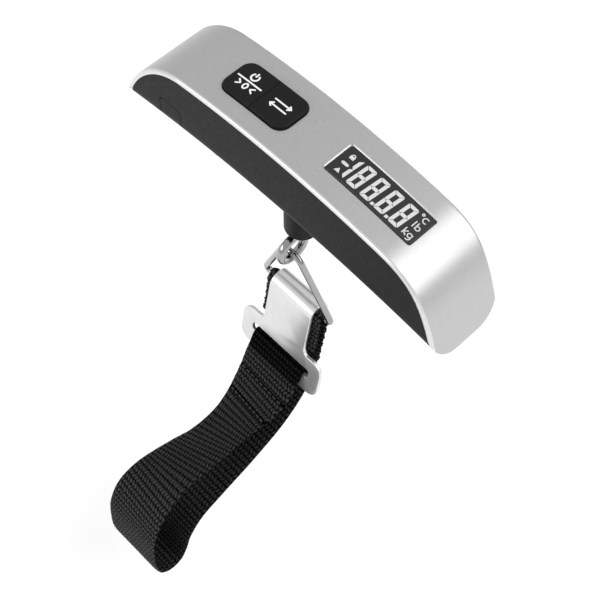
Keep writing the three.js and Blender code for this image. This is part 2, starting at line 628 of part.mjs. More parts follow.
// Route of the strap's middle line in the Y-Z plane, with the tilt of its width at each point in
// degrees (positive lifts the +X edge), from the back run beside the ring to the hook plate's slot.
const STRAP_ROUTE = [
  [-1.7, -89.8, 0], [-3.5, -99, 0], [-6.1, -113, 0], [-12.5, -127.5, 0], [-25, -141.5, 2],
  [-44, -152.5, 4], [-62, -159.5, 4], [-75.5, -165, 2], [-83, -173.5, 0], [-86.5, -183, 0],
  [-90.5, -189.8, 0], [-96, -191.2, 0], [-101, -187.5, 2], [-103.5, -178, 4], [-103.4, -165, 6],
  [-101.5, -151, 8], [-96.5, -140.5, 10], [-88.5, -134, 16], [-79, -131.5, 22], [-66, -134, 27],
  [-54, -137.2, 31], [-42, -136.8, 30], [-31, -132.3, 20], [-22.8, -125, 8], [-18.8, -118.6, 2],
  [-15.7, -113.1, 0], [-14.1, -109.9, 0], [-12.3, -108.6, 0], [-10.4, -109.6, 0], [-10.3, -112.5, 0],
];

function strap() {
  const route = new THREE.CatmullRomCurve3(
    STRAP_ROUTE.map(([y, z, tilt]) => new THREE.Vector3(tilt, y, z)), false, 'centripetal');
  const steps = 64;
  const rings = [];
  for (let k = 0; k <= steps; k += 1) {
    const point = route.getPoint(k / steps);
    const tilt = THREE.MathUtils.degToRad(point.x);
    const ahead = route.getPoint(Math.min(1, k / steps + 0.004));
    const back = route.getPoint(Math.max(0, k / steps - 0.004));
    const along = new THREE.Vector3(0, ahead.y - back.y, ahead.z - back.z).normalize();
    const across = new THREE.Vector3(Math.cos(tilt), 0, Math.sin(tilt));
    across.addScaledVector(along, -across.dot(along)).normalize();
    const normal = along.clone().cross(across);
    const middle = new THREE.Vector3(0, point.y, point.z);
    const corners = [[1, 1], [0, 1], [-1, 1], [-1, -1], [0, -1], [1, -1]];
    rings.push(corners.map(([u, v]) => middle.clone()
      .addScaledVector(across, (u * WEBBING.width) / 2)
      .addScaledVector(normal, (v * WEBBING.thick) / 2)));
  }
  return solidOf(loft(rings));
}

// ---------- assembly ----------

function finish(color, roughness, metalness) {
  return new THREE.MeshStandardMaterial({ color, roughness, metalness });
}

const MATERIAL = {
  silver: finish(0xb4b4b4, 0.42, 0.3),
  blackPlastic: finish(0x3a3a3a, 0.6, 0),
  key: finish(0x202020, 0.65, 0),
  lens: finish(0x343434, 0.1, 0),
  glass: finish(0x9aa39a, 0.1, 0),
  white: finish(0xe8e8e4, 0.5, 0),
  rubber: finish(0x6a6a6a, 0.8, 0),
  board: finish(0x1f5a33, 0.5, 0),
  chip: finish(0x151515, 0.5, 0),
  steel: finish(0xd8d8d8, 0.25, 1),
  chrome: finish(0xe6e6e6, 0.08, 1),
  aluminium: finish(0xc4c6c8, 0.35, 1),
  gauge: finish(0xb08030, 0.5, 0.2),
  webbing: finish(0x1c1c1c, 0.95, 0),
};

const scale = new THREE.Group();

function place(parent, name, solid, material) {
  const mesh = new THREE.Mesh(geometryOf(solid), material);
  mesh.name = name;
  parent.add(mesh);
}

place(scale, 'top_cover', topCover(), MATERIAL.silver);
place(scale, 'lower_housing', lowerHousing(), MATERIAL.blackPlastic);
place(scale, 'neck_collar', neckCollar(), MATERIAL.blackPlastic);
place(scale, 'battery_door', batteryDoor(), MATERIAL.blackPlastic);
place(scale, 'display_lens', displayLens(), MATERIAL.lens);
place(scale, 'lcd_glass', lcdLayer(-2.6, -4.4, 7.2), MATERIAL.glass);
place(scale, 'lcd_backlight', lcdLayer(-4.8, -6.2, 4.6), MATERIAL.white);
place(scale, 'lcd_frame', lcdFrame(), MATERIAL.white);
place(scale, 'zebra_strip_front', zebraStrip(-6.3), MATERIAL.rubber);
place(scale, 'zebra_strip_rear', zebraStrip(6.3), MATERIAL.rubber);

place(scale, 'power_key', key(padLeft, KEYPAD.x - KEYPAD.split / 2, true, false), MATERIAL.key);
place(scale, 'unit_key', key(KEYPAD.x + KEYPAD.split / 2, padRight, false, true), MATERIAL.key);
place(scale, 'keypad_membrane', keypadMembrane(), MATERIAL.rubber);
place(scale, 'dome_switch_power', domeSwitch(keyCentre(-1)), MATERIAL.steel);
place(scale, 'dome_switch_unit', domeSwitch(keyCentre(1)), MATERIAL.steel);
place(scale, 'circuit_board', circuitBoard(), MATERIAL.board);
place(scale, 'processor_chip', solidOf(box(1, 9, -4, 4, boardTop, boardTop + 1.6)), MATERIAL.chip);

const cellTop = COIN.z + COIN.thick;
place(scale, 'coin_cell', solidOf(disc(COIN.r, COIN.z, cellTop, COIN.x, COIN.y, 32)), MATERIAL.steel);
place(scale, 'battery_contact_positive', batteryContact(cellTop + GAP, 1), MATERIAL.steel);
place(scale, 'battery_contact_negative', batteryContact(cellTop + GAP, -1), MATERIAL.steel);

place(scale, 'load_cell', loadCell(), MATERIAL.aluminium);
place(scale, 'strain_gauge_top', strainGauge(CELL_BEAM.z1 + GAP), MATERIAL.gauge);
place(scale, 'strain_gauge_bottom', strainGauge(CELL_BEAM.z0 - 2 * GAP), MATERIAL.gauge);
place(scale, 'load_cell_screw_inner', cellScrew(CELL_SCREWS[0]), MATERIAL.steel);
place(scale, 'load_cell_screw_outer', cellScrew(CELL_SCREWS[1]), MATERIAL.steel);
place(scale, 'shackle', shackle(), MATERIAL.steel);
place(scale, 'shackle_bolt', shackleBolt(), MATERIAL.steel);
place(scale, 'eye_pin', solidOf(pinAlongX(PIN_R, -4.9, 4.9, 0, PIN_Z)), MATERIAL.steel);
SCREW_POSTS.forEach(([x, y], k) => {
  place(scale, `housing_screw_${k + 1}`, housingScrew(x, y), MATERIAL.steel);
});

// The hanging pieces: each group stands on its own pivot, turned to its resting angle.
function hangingGroup(y, z, degrees) {
  const group = new THREE.Group();
  group.position.set(0, y, z);
  group.rotation.x = THREE.MathUtils.degToRad(degrees);
  scale.add(group);
  return group;
}

function below(y, z, degrees, distance) {
  const angle = THREE.MathUtils.degToRad(degrees);
  return [y + Math.sin(angle) * distance, z - Math.cos(angle) * distance];
}

const apexDrop = EYE.drop + EYE.r - EYE.wire - RING.wire - GAP;
const [apexY, apexZ] = below(0, PIN_Z, EYE_TILT, apexDrop);
const [barY, barZ] = below(apexY, apexZ, RING_TILT, RING.height);

place(hangingGroup(0, PIN_Z, EYE_TILT), 'load_eye', loadEye(), MATERIAL.chrome);
place(hangingGroup(apexY, apexZ, RING_TILT), 'triangle_ring', triangleRing(), MATERIAL.chrome);
const onBar = hangingGroup(barY, barZ, PLATE_TILT);
place(onBar, 'hook_plate', hookPlate(), MATERIAL.steel);
place(onBar, 'strap_ring_loop', strapRingLoop(), MATERIAL.webbing);
place(scale, 'strap', strap(), MATERIAL.webbing);

export default scale;
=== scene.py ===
"""Digital luggage scale: the finished looks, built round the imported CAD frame.

Lengths are in millimetres in the same frame as the CAD (+Z up, X along the handle, the display
towards +X, the webbing loop thrown towards -Y), and become metres when a mesh is made.
"""

import json
import math

import bmesh
import bpy
import numpy as np
from mathutils import Matrix, Vector


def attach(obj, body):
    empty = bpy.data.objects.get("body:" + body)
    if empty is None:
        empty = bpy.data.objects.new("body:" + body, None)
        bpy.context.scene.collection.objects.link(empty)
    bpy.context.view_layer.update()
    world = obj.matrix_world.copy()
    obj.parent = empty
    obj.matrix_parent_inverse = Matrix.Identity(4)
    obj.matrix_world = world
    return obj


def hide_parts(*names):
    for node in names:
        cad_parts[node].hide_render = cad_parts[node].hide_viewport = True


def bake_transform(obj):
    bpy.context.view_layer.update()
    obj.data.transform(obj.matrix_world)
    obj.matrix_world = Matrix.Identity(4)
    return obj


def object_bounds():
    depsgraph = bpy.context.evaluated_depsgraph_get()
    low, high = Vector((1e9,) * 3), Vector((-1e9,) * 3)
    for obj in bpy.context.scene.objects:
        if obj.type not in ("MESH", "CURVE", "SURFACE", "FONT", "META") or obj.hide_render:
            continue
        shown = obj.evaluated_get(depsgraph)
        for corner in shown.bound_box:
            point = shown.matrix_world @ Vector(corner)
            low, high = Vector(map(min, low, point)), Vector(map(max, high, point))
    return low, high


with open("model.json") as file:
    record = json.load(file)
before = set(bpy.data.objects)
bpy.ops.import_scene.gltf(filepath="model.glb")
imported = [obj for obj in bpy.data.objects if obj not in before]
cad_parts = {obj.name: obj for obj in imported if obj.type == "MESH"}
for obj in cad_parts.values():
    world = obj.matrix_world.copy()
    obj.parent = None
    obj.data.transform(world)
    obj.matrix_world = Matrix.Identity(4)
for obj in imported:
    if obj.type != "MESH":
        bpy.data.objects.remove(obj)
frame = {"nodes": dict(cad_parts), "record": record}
cad_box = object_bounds()

MM = 0.001
SCENE = bpy.context.scene

# ---------- driving dimensions, as in the CAD ----------

GAP = 0.3
WIDTH = 32
HALF_LENGTH = 82
CROWN = 33.5
CROWN_RADIUS = 367
LIP = -9.5
COVER_WALL = 1.8
RIM_BEVEL = 1.2
RIM_STEP = 0.3
HOUSING_WALL = 2
KEY_END = {"x": -46, "pull": 22}
DISPLAY_END = {"x": 52, "pull": 30}
CROWN_PULL = 16
END_LEAN = (0.27, 0.96)
BELLY_LOW = -8.5
BELLY_RISE = 5.6
BELLY_SPAN = 77
BELLY_CORNER = 11
DISPLAY = {"x": 36.7, "length": 39.6, "width": 13.4, "thick": 1.5, "corner": 0.8}
KEYPAD = {"x": -18.8, "length": 31.4, "width": 15.9, "corner": 4.5, "rise": 1.2}
KEY_PARTING = 0.09
COIN = {"x": -49, "y": -1, "r": 10, "z": -0.4}
DOOR = {"x0": -62, "x1": -36, "far": 13, "top": 2.5,
        "tab0": -59.3, "tab1": -48.1, "tab_top": 11, "tab_r": 2.4}
HINGE = {"y": 13.15, "z": -2.3, "sweep": 5.1, "notch": 0.95}
SCREW = {"post_r": 3.4, "head_room_r": 2.4, "bore_r": 1.4}
SCREW_POSTS = [(-32, 11.5), (-32, -11.5), (48, 11.5), (48, -11.5)]
NECK = {"r": 7.1, "bottom": -26.9, "bore": 5.6, "floor": 1.7,
        "flange_r": 8.3, "flange_z": 0.4, "flange_top": 1.8}
PIN_Z = -21
EYE = {"r": 6.1, "wire": 1.9, "drop": 16, "shank": 2.3, "boss": 3.4, "half": 2.6, "tilt": -18.7}
RING = {"wire": 1.4, "height": 37.7, "half": 19.2, "leg_inset": 4.6,
        "apex_r": 6, "corner_r": 3.2, "tilt": 6.44}
PLATE = {"thick": 1.6, "neck": 12, "ears": 23.4, "ear_r": 5.6, "shoulder": 21, "foot": 45.5,
         "fillet": 3.4, "tilt": -10.25, "lip": 3.5}
PLATE_SLOT = {"half": 17, "top": 31.3, "high": 5}
WEBBING = {"width": 30, "thick": 1.6}

# ---------- mesh helpers ----------


def new_object(name, points, faces):
    mesh = bpy.data.meshes.new(name)
    mesh.from_pydata([tuple(c * MM for c in p) for p in points], [], faces)
    mesh.update()
    obj = bpy.data.objects.new(name, mesh)
    SCENE.collection.objects.link(obj)
    return obj


def grid_faces(rows, columns, start=0, close_rows=False, close_columns=False):
    """Quads of a rows x columns grid of points, numbered row by row."""
    faces = []
    for i in range(rows if close_rows else rows - 1):
        for j in range(columns if close_columns else columns - 1):
            a = start + i * columns + j
            b = start + i * columns + (j + 1) % columns
            c = start + ((i + 1) % rows) * columns + (j + 1) % columns
            d = start + ((i + 1) % rows) * columns + j
            faces.append((a, b, c, d))
    return faces


def lofted(rings, closed=False):
    """(points, faces) through rings of equal point count, capped unless the loft closes on itself."""
    count = len(rings[0])
    points = [p for ring in rings for p in ring]
    faces = grid_faces(len(rings), count, close_rows=closed, close_columns=True)
    if not closed:
        faces.append(tuple(range(count - 1, -1, -1)))
        faces.append(tuple(range(len(points) - count, len(points))))
    return points, faces


def merged(parts):
    """One (points, faces) of several."""
    points, faces = [], []
    for part_points, part_faces in parts:
        start = len(points)
        points += part_points
        faces += [tuple(i + start for i in face) for face in part_faces]
    return points, faces


def tube_object(name, rings, closed=False):
    obj = new_object(name, *lofted(rings, closed))
    outward(obj)
    return obj


def outward(obj, weld=False):
    """Turns every face outward, after joining points that coincide if asked."""
    work = bmesh.new()
    work.from_mesh(obj.data)
    if weld:
        bmesh.ops.remove_doubles(work, verts=work.verts, dist=1e-7)
    bmesh.ops.recalc_face_normals(work, faces=work.faces)
    work.to_mesh(obj.data)
    work.free()


def apply_modifiers(obj):
    graph = bpy.context.evaluated_depsgraph_get()
    mesh = bpy.data.meshes.new_from_object(obj.evaluated_get(graph))
    obj.modifiers.clear()
    obj.data = mesh


def boolean(obj, tool, operation="DIFFERENCE"):
    modifier = obj.modifiers.new("boolean", "BOOLEAN")
    modifier.operation = operation
    modifier.solver = "EXACT"
    modifier.object = tool
    apply_modifiers(obj)
    bpy.data.objects.remove(tool)
    return obj


def soften(obj, width, segments=3, angle=40):
    """Rounds the edges sharper than an angle."""
    modifier = obj.modifiers.new("bevel", "BEVEL")
    modifier.width = width * MM
    modifier.segments = segments
    modifier.limit_method = "ANGLE"
    modifier.angle_limit = math.radians(angle)
    apply_modifiers(obj)
    return obj


def smooth(obj, angle=35):
    obj.data.shade_smooth()
    obj.data.set_sharp_from_angle(angle=math.radians(angle))
    return obj


def extrude_xz(name, outline, y0, y1):
    """A prism whose section (x, z) runs from y0 to y1."""
    rings = [[(x, y, z) for x, z in outline] for y in (y0, y1)]
    return tube_object(name, rings)


def extrude_yz(name, outline, x0, x1, steps=1):
    """A prism whose section (y, z) runs from x0 to x1."""
    rings = [[(x0 + (x1 - x0) * k / steps, y, z) for y, z in outline] for k in range(steps + 1)]
    return tube_object(name, rings)


def box(name, x0, x1, y0, y1, z0, z1):
    return extrude_xz(name, [(x0, z0), (x1, z0), (x1, z1), (x0, z1)], y0, y1)


def turned(name, profile, x=0, y=0, segments=96):
    """A body turned about a vertical axis: profile is (radius, z) from the axis back to the axis."""
    rings = [
        [(x + r * math.cos(t), y + r * math.sin(t), z) for t in turns(segments)]
        for r, z in profile
        if r > 0
    ]
    return tube_object(name, rings)


def turns(count, start=0.0, sweep=2 * math.pi):
    return [start + sweep * k / count for k in range(count)]


def cylinder(name, r, z0, z1, x=0, y=0, segments=48):
    return turned(name, [(r, z0), (r, z1)], x, y, segments)


def arc(cx, cy, r, start, end, steps):
    """Points of an arc, both ends included; angles in degrees."""
    angles = [math.radians(start + (end - start) * k / steps) for k in range(steps + 1)]
    return [(cx + r * math.cos(a), cy + r * math.sin(a)) for a in angles]


def straight(a, b, steps):
    """Points of a line from a, up to but not including b."""
    return [(a[0] + (b[0] - a[0]) * k / steps, a[1] + (b[1] - a[1]) * k / steps) for k in range(steps)]


def hang(obj, y, z, degrees):
    """Turns a piece made hanging along -Z from the origin, and puts its pivot in place."""
    turn = Matrix.Rotation(math.radians(degrees), 4, "X")
    obj.data.transform(Matrix.Translation(Vector((0, y * MM, z * MM))) @ turn)
    return obj


def below(y, z, degrees, distance):
    """Where a point that hangs a distance under a pivot lies, with the hang turned by an angle."""
    angle = math.radians(degrees)
    return y + math.sin(angle) * distance, z - math.cos(angle) * distance


def finished(obj, body, slot, *nodes, material=None, sharp=30):
    """Shades a piece, gives it its material and body, and says which CAD nodes it stands for."""
    smooth(obj, sharp)
    obj.data.materials.clear()
    obj.data.materials.append(material or MATERIALS[slot])
    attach(obj, body)
    if nodes:
        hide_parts(*nodes)
    return obj


# ---------- materials ----------


class Finish:
    """A node material with a Principled shader, built up from procedural parts."""

    def __init__(self, name, color, roughness, metallic=0.0, **sockets):
        self.material = bpy.data.materials.new(name)
        self.material.use_nodes = True
        self.tree = self.material.node_tree
        self.shader = self.tree.nodes["Principled BSDF"]
        self.color = color
        self.set("Base Color", (*color, 1))
        self.set("Roughness", roughness)
        self.set("Metallic", metallic)
        for socket, value in sockets.items():
            self.set(socket.replace("_", " "), value)
        self.normal = None

    def set(self, socket, value):
        self.shader.inputs[socket].default_value = value

    def node(self, kind, **values):
        node = self.tree.nodes.new(kind)
        for key, value in values.items():
            if key in node.inputs:
                node.inputs[key].default_value = value
            else:
                setattr(node, key, value)
        return node

    def link(self, source, target):
        self.tree.links.new(source, target)

    def place(self, stretch=(1, 1, 1), attribute=None):
        """Object coordinates in millimetres, or a named attribute, stretched along the axes."""
        mapping = self.node("ShaderNodeMapping")
        if attribute:
            where = self.node("ShaderNodeAttribute", attribute_name=attribute).outputs["Vector"]
            mapping.inputs["Scale"].default_value = stretch
        else:
            where = self.node("ShaderNodeTexCoord").outputs["Object"]
            mapping.inputs["Scale"].default_value = [s / MM for s in stretch]
        self.link(where, mapping.inputs["Vector"])
        return mapping.outputs["Vector"]

    def noise(self, scale, detail=2.0, stretch=(1, 1, 1), attribute=None):
        """Noise from 0 to 1; scale is features per millimetre."""
        noise = self.node("ShaderNodeTexNoise", Scale=scale, Detail=detail)
        self.link(self.place(stretch, attribute), noise.inputs["Vector"])
        return noise.outputs["Fac"]

    def ramp(self, value, low, high, out_low, out_high):
        ramp = self.node("ShaderNodeMapRange")
        limits = {"From Min": low, "From Max": high, "To Min": out_low, "To Max": out_high}
        for socket, number in limits.items():
            ramp.inputs[socket].default_value = number
        self.link(value, ramp.inputs["Value"])
        return ramp.outputs["Result"]

    def vary_color(self, value, dark, light, low=0.3, high=0.7):
        """Colour runs between two multiples of the base colour as value goes from low to high."""
        mix = self.node("ShaderNodeMix", data_type="RGBA")
        mix.inputs[6].default_value = (*[c * dark for c in self.color], 1)
        mix.inputs[7].default_value = (*[c * light for c in self.color], 1)
        self.link(self.ramp(value, low, high, 0, 1), mix.inputs[0])
        self.link(mix.outputs[2], self.shader.inputs["Base Color"])

    def vary_roughness(self, value, low, high):
        self.link(self.ramp(value, 0.3, 0.7, low, high), self.shader.inputs["Roughness"])

    def bump(self, height, depth):
        """Adds relief of that depth in millimetres."""
        bump = self.node("ShaderNodeBump", Strength=1.0, Distance=depth * MM)
        self.link(height, bump.inputs["Height"])
        if self.normal is not None:
            self.link(self.normal, bump.inputs["Normal"])
        self.normal = bump.outputs["Normal"]
        self.link(self.normal, self.shader.inputs["Normal"])


def satin_silver():
    """Silver paint: fine metallic flake, faint orange peel and a soft sheen."""
    f = Finish("satin_silver_paint", (0.46, 0.46, 0.462), 0.32, 0.75, Coat_Weight=0.1, Coat_Roughness=0.25)
    f.vary_color(f.noise(5.0, 1.0), 0.86, 1.14)
    f.vary_roughness(f.noise(0.05, 3.0), 0.33, 0.4)
    f.bump(f.noise(3.0), 0.006)
    return f.material


def rim_painted_highlight():
    """The cover's rolled edge in a lighter copy of its silver: a painted highlight along the rim."""
    f = Finish("rim_painted_highlight", (0.68, 0.68, 0.68), 0.3, 0.8)
    f.vary_color(f.noise(1.0), 0.97, 1.03)
    f.vary_roughness(f.noise(2.0, 2.0, (0.1, 1, 1)), 0.26, 0.34)
    return f.material


def black_moulding():
    """Black plastic with a fine spark-eroded texture."""
    f = Finish("black_moulded_plastic", (0.007, 0.007, 0.0072), 0.55, Specular_IOR_Level=0.12)
    f.vary_color(f.noise(0.25, 3.0), 0.9, 1.12)
    f.vary_roughness(f.noise(0.8), 0.52, 0.6)
    f.bump(f.noise(5.0), 0.02)
    return f.material


def silicone():
    f = Finish("black_silicone", (0.005, 0.005, 0.005), 0.5, Specular_IOR_Level=0.2)
    f.vary_color(f.noise(0.6, 3.0), 0.85, 1.2)
    f.vary_roughness(f.noise(1.5), 0.5, 0.6)
    f.bump(f.noise(7.0, 1.0), 0.008)
    return f.material


def printed_white():
    f = Finish("printed_white", (0.82, 0.82, 0.82), 0.5)
    f.vary_color(f.noise(4.0), 0.96, 1.04)
    f.bump(f.noise(8.0, 1.0), 0.004)
    return f.material


def smoked_window():
    """Smoked acrylic window over a dark negative display, with a polished face."""
    f = Finish("smoked_window", (0.005, 0.005, 0.0055), 0.36, Specular_IOR_Level=0.55)
    f.vary_color(f.noise(0.06), 0.85, 1.2)
    f.vary_roughness(f.noise(0.3, 3.0), 0.34, 0.38)
    return f.material


def lcd_segment():
    f = Finish("lcd_segment", (0.6, 0.6, 0.6), 0.4)
    f.vary_color(f.noise(5.0), 0.94, 1.04)
    f.vary_roughness(f.noise(1.0), 0.36, 0.44)
    return f.material


def polished_chrome():
    """Chrome plating with faint smudges and hairline scratches."""
    f = Finish("polished_chrome", (0.35, 0.35, 0.355), 0.09, 1.0)
    f.vary_color(f.noise(0.5, 3.0), 0.93, 1.05)
    f.vary_roughness(f.noise(0.9, 4.0), 0.04, 0.14)
    f.bump(f.noise(1.2, 3.0, (1, 1, 6)), 0.01)
    return f.material


def plated_steel():
    """Bright nickel plate over rolled steel: faint lengthwise rolling lines."""
    f = Finish("nickel_plated_steel", (0.72, 0.72, 0.715), 0.32, 0.85)
    rolling = f.noise(3.0, 3.0, (1, 0.06, 0.06))
    f.vary_color(f.noise(0.3, 3.0), 0.97, 1.02)
    f.vary_roughness(rolling, 0.31, 0.34)
    f.bump(rolling, 0.0004)
    return f.material


def webbing():
    """Coarse black polypropylene: fibres over the woven relief, whose height is weave's third value; the
    colour darkens into the weave's hollows and lightens on its crests, painted shade and painted highlight.
    """
    f = Finish("black_webbing", (0.0095, 0.0095, 0.0098), 0.5, Specular_IOR_Level=0.4)
    fibres = f.noise(6.0, 3.0, (1.0, 0.25, 0.0), "weave")
    where = f.node("ShaderNodeAttribute", attribute_name="weave")
    split = f.node("ShaderNodeSeparateXYZ")
    f.link(where.outputs["Vector"], split.inputs[0])
    # Colour from the relief height plus fibre noise: dark hollows are painted shade and light crests are
    # painted highlight; the fibre noise is the strap's own tone.
    weave_shade_and_fibres = f.node("ShaderNodeMath", operation="MULTIPLY_ADD")
    f.link(split.outputs["Z"], weave_shade_and_fibres.inputs[0])
    weave_shade_and_fibres.inputs[1].default_value = 0.75
    f.link(f.ramp(fibres, 0.3, 0.7, -0.15, 0.25), weave_shade_and_fibres.inputs[2])
    f.vary_color(weave_shade_and_fibres.outputs["Value"], 0.05, 2.2, 0.1, 1)
    f.link(f.ramp(weave_shade_and_fibres.outputs["Value"], 0, 1, 0.9, 0.42), f.shader.inputs["Roughness"])
    f.link(f.ramp(split.outputs["Z"], 0.2, 0.9, 0.0, 0.45), f.shader.inputs["Specular IOR Level"])
    f.bump(fibres, 0.15)
    return f.material


def thread():
    f = Finish("black_thread", (0.012, 0.012, 0.012), 0.6, Sheen_Weight=0.2)
    f.vary_color(f.noise(8.0), 0.6, 1.5)
    f.bump(f.noise(6.0), 0.03)
    return f.material


def bright_steel(name, color, roughness, lines=(1, 1, 1)):
    f = Finish(name, color, roughness, 1.0)
    grain = f.noise(4.0, 3.0, lines)
    f.vary_color(f.noise(0.6, 3.0), 0.85, 1.1)
    f.vary_roughness(grain, roughness * 0.8, roughness * 1.4)
    f.bump(grain, 0.006)
    return f.material


def moulded(name, color, roughness=0.5, grain=4.0, depth=0.01):
    f = Finish(name, color, roughness)
    f.vary_color(f.noise(0.5, 3.0), 0.88, 1.1)
    f.vary_roughness(f.noise(1.0), roughness * 0.9, roughness * 1.15)
    f.bump(f.noise(grain), depth)
    return f.material


def solder_mask():
    """Green board with copper tracks showing through the mask."""
    f = Finish("solder_mask", (0.02, 0.13, 0.045), 0.35, Coat_Weight=0.4)
    tracks = f.node("ShaderNodeTexBrick", Scale=0.22)
    tracks.inputs["Mortar Size"].default_value = 0.05
    f.link(f.place(), tracks.inputs["Vector"])
    f.vary_color(tracks.outputs["Fac"], 0.8, 1.9, 0, 1)
    f.bump(tracks.outputs["Fac"], 0.03)
    return f.material


MATERIALS = {
    "silver_cover": satin_silver(),
    "black_plastic": black_moulding(),
    "key_rubber": silicone(),
    "display_lens": smoked_window(),
    "lcd_glass": moulded("lcd_glass", (0.3, 0.33, 0.3), 0.12, 1.0, 0.002),
    "white_plastic": moulded("white_plastic", (0.8, 0.8, 0.78)),
    "grey_rubber": moulded("grey_rubber", (0.14, 0.14, 0.14), 0.7, 3.0, 0.02),
    "spring_steel": bright_steel("spring_steel", (0.62, 0.6, 0.55), 0.2, (1, 0.2, 1)),
    "circuit_board": solder_mask(),
    "chip_resin": moulded("chip_resin", (0.012, 0.012, 0.012), 0.45, 6.0, 0.02),
    "nickel_steel": bright_steel("nickel_steel", (0.66, 0.66, 0.64), 0.22, (1, 1, 0.1)),
    "machined_aluminium": bright_steel("machined_aluminium", (0.62, 0.63, 0.64), 0.32, (0.1, 1, 1)),
    "gauge_film": moulded("gauge_film", (0.45, 0.22, 0.04), 0.3, 8.0, 0.01),
    "zinc_steel": bright_steel("zinc_steel", (0.56, 0.57, 0.59), 0.3),
    "chrome_wire": polished_chrome(),
    "plated_steel": plated_steel(),
    "black_webbing": webbing(),
}
WHITE_PRINT = printed_white()
RIM_HIGHLIGHT_COPY = rim_painted_highlight()
SEGMENT = lcd_segment()
THREAD = thread()


def finish_cad_nodes():
    """The CAD nodes that stay as they are take their slot's material and rounded shading."""
    for part in frame["record"]["subparts"]:
        node = frame["nodes"][part["node"]]
        node.data.materials.clear()
        node.data.materials.append(MATERIALS[part["material_slot"]])
        smooth(node)


# ---------- the handle's outlines ----------


def crown_at(x):
    return CROWN - x * x / (2 * CROWN_RADIUS)


def belly_at(x):
    return BELLY_LOW + BELLY_RISE * max(0.0, 1 - (x / BELLY_SPAN) ** 2)


def bezier(a, b, c, d, steps):
    points = []
    for k in range(steps + 1):
        t = k / steps
        u = 1 - t
        points.append(tuple(
            u**3 * a[i] + 3 * u * u * t * b[i] + 3 * u * t * t * c[i] + t**3 * d[i] for i in (0, 1)
        ))
    return points


def crown_handle(x, pull):
    return (x + pull, crown_at(x) - pull * x / CROWN_RADIUS)


def side_outline(spacing=0.9):
    """Side outline of the cover, resampled evenly; columns are x and z."""
    lean_x, lean_z = END_LEAN
    pull = KEY_END["pull"]
    points = bezier(
        (-HALF_LENGTH, LIP), (-HALF_LENGTH + pull * lean_x, LIP + pull * lean_z),
        crown_handle(KEY_END["x"], -CROWN_PULL), crown_handle(KEY_END["x"], 0), 120)
    span = DISPLAY_END["x"] - KEY_END["x"]
    points += [crown_handle(KEY_END["x"] + span * k / 100, 0) for k in range(1, 100)]
    pull = DISPLAY_END["pull"]
    points += bezier(
        crown_handle(DISPLAY_END["x"], 0), crown_handle(DISPLAY_END["x"], CROWN_PULL),
        (HALF_LENGTH - pull * lean_x, LIP + pull * lean_z), (HALF_LENGTH, LIP), 120)
    points = np.array(points)
    along = np.concatenate([[0], np.cumsum(np.linalg.norm(np.diff(points, axis=0), axis=1))])
    steps = np.linspace(0, along[-1], int(along[-1] / spacing) + 1)
    return np.column_stack([np.interp(steps, along, points[:, i]) for i in (0, 1)])


def outward_normals(outline):
    along = np.gradient(outline, axis=0)
    along /= np.linalg.norm(along, axis=1)[:, None]
    return np.column_stack([-along[:, 1], along[:, 0]])


def closed_below(outline, depth):
    return [tuple(p) for p in outline] + [(outline[-1][0], depth), (outline[0][0], depth)]


OUTLINE = side_outline()
NORMALS = outward_normals(OUTLINE)
HOUSING_HALF = WIDTH / 2 - RIM_STEP


def inset(distance):
    return OUTLINE - NORMALS * distance


def belly_envelope(name, half, lift, corner, steps=130, round_steps=14):
    """The handle's cross-section swept along its arched underside."""
    rings = []
    reach = 91
    for k in range(steps + 1):
        x = -reach + 2 * reach * k / steps
        low = belly_at(x) + lift
        section = [(half, 60.0), (-half, 60.0)]
        section += arc(-half + corner, low + corner, corner, 180, 270, round_steps)
        section += arc(half - corner, low + corner, corner, 270, 360, round_steps)
        rings.append([(x, y, z) for y, z in section])
    return tube_object(name, rings)


# ---------- cover ----------


def rim_low(y):
    """Height of the cover's lower edge at its ends, rounded like the housing's underside."""
    past = max(0.0, abs(y) - (WIDTH / 2 - BELLY_CORNER))
    return BELLY_LOW + BELLY_CORNER - math.sqrt(max(0.0, BELLY_CORNER**2 - past**2))


def cover_section():
    """(y, depth below the outer face) across the band, with its rolled edges."""
    flat = WIDTH / 2 - RIM_BEVEL
    right = [
        (flat + RIM_BEVEL * math.sin(t), RIM_BEVEL * (1 - math.cos(t)))
        for t in turns(9, 0, math.pi / 2)[1:] + [math.pi / 2]
    ]
    middle = [(y, 0.0) for y in np.linspace(-flat, flat, 31)]
    left = [(-y, n) for y, n in reversed(right)]
    return left + middle + right


# Points of the outline at each end that are drawn in to the rounded lower edge.
END_POINTS = 44


def cover_row(y, depth):
    """Points of the band at one place across it, ending on the rounded lower edge at each end."""
    line = inset(depth)
    low = rim_low(y)
    count = len(line)
    ends = END_POINTS
    start = np.interp(low, line[:ends, 1], np.arange(ends))
    stop = count - 1 - np.interp(low, line[::-1][:ends, 1], np.arange(ends))
    at = np.arange(count, dtype=float)
    near = at < ends
    far = at > count - 1 - ends
    at[near] = start + at[near] * (ends - start) / ends
    at[far] = stop - (count - 1 - at[far]) * (stop - (count - 1 - ends)) / ends
    xs = np.interp(at, np.arange(count), line[:, 0])
    zs = np.interp(at, np.arange(count), line[:, 1])
    return [(x, y, z) for x, z in zip(xs, zs)]


def crown_window(name, part, clearance, chamfer):
    """Cutter for a window in the crown, flared at the outer face so that it leaves a chamfer."""
    x0 = part["x"] - part["length"] / 2 - clearance
    x1 = part["x"] + part["length"] / 2 + clearance
    half = part["width"] / 2 + clearance
    corner = part["corner"] + clearance
    layers = [(0, -9), (0, -chamfer), (-chamfer - 0.05, 0.05), (-chamfer - 0.05, 4)]
    return crown_pad(name, x0, x1, half, corner, corner, layers)


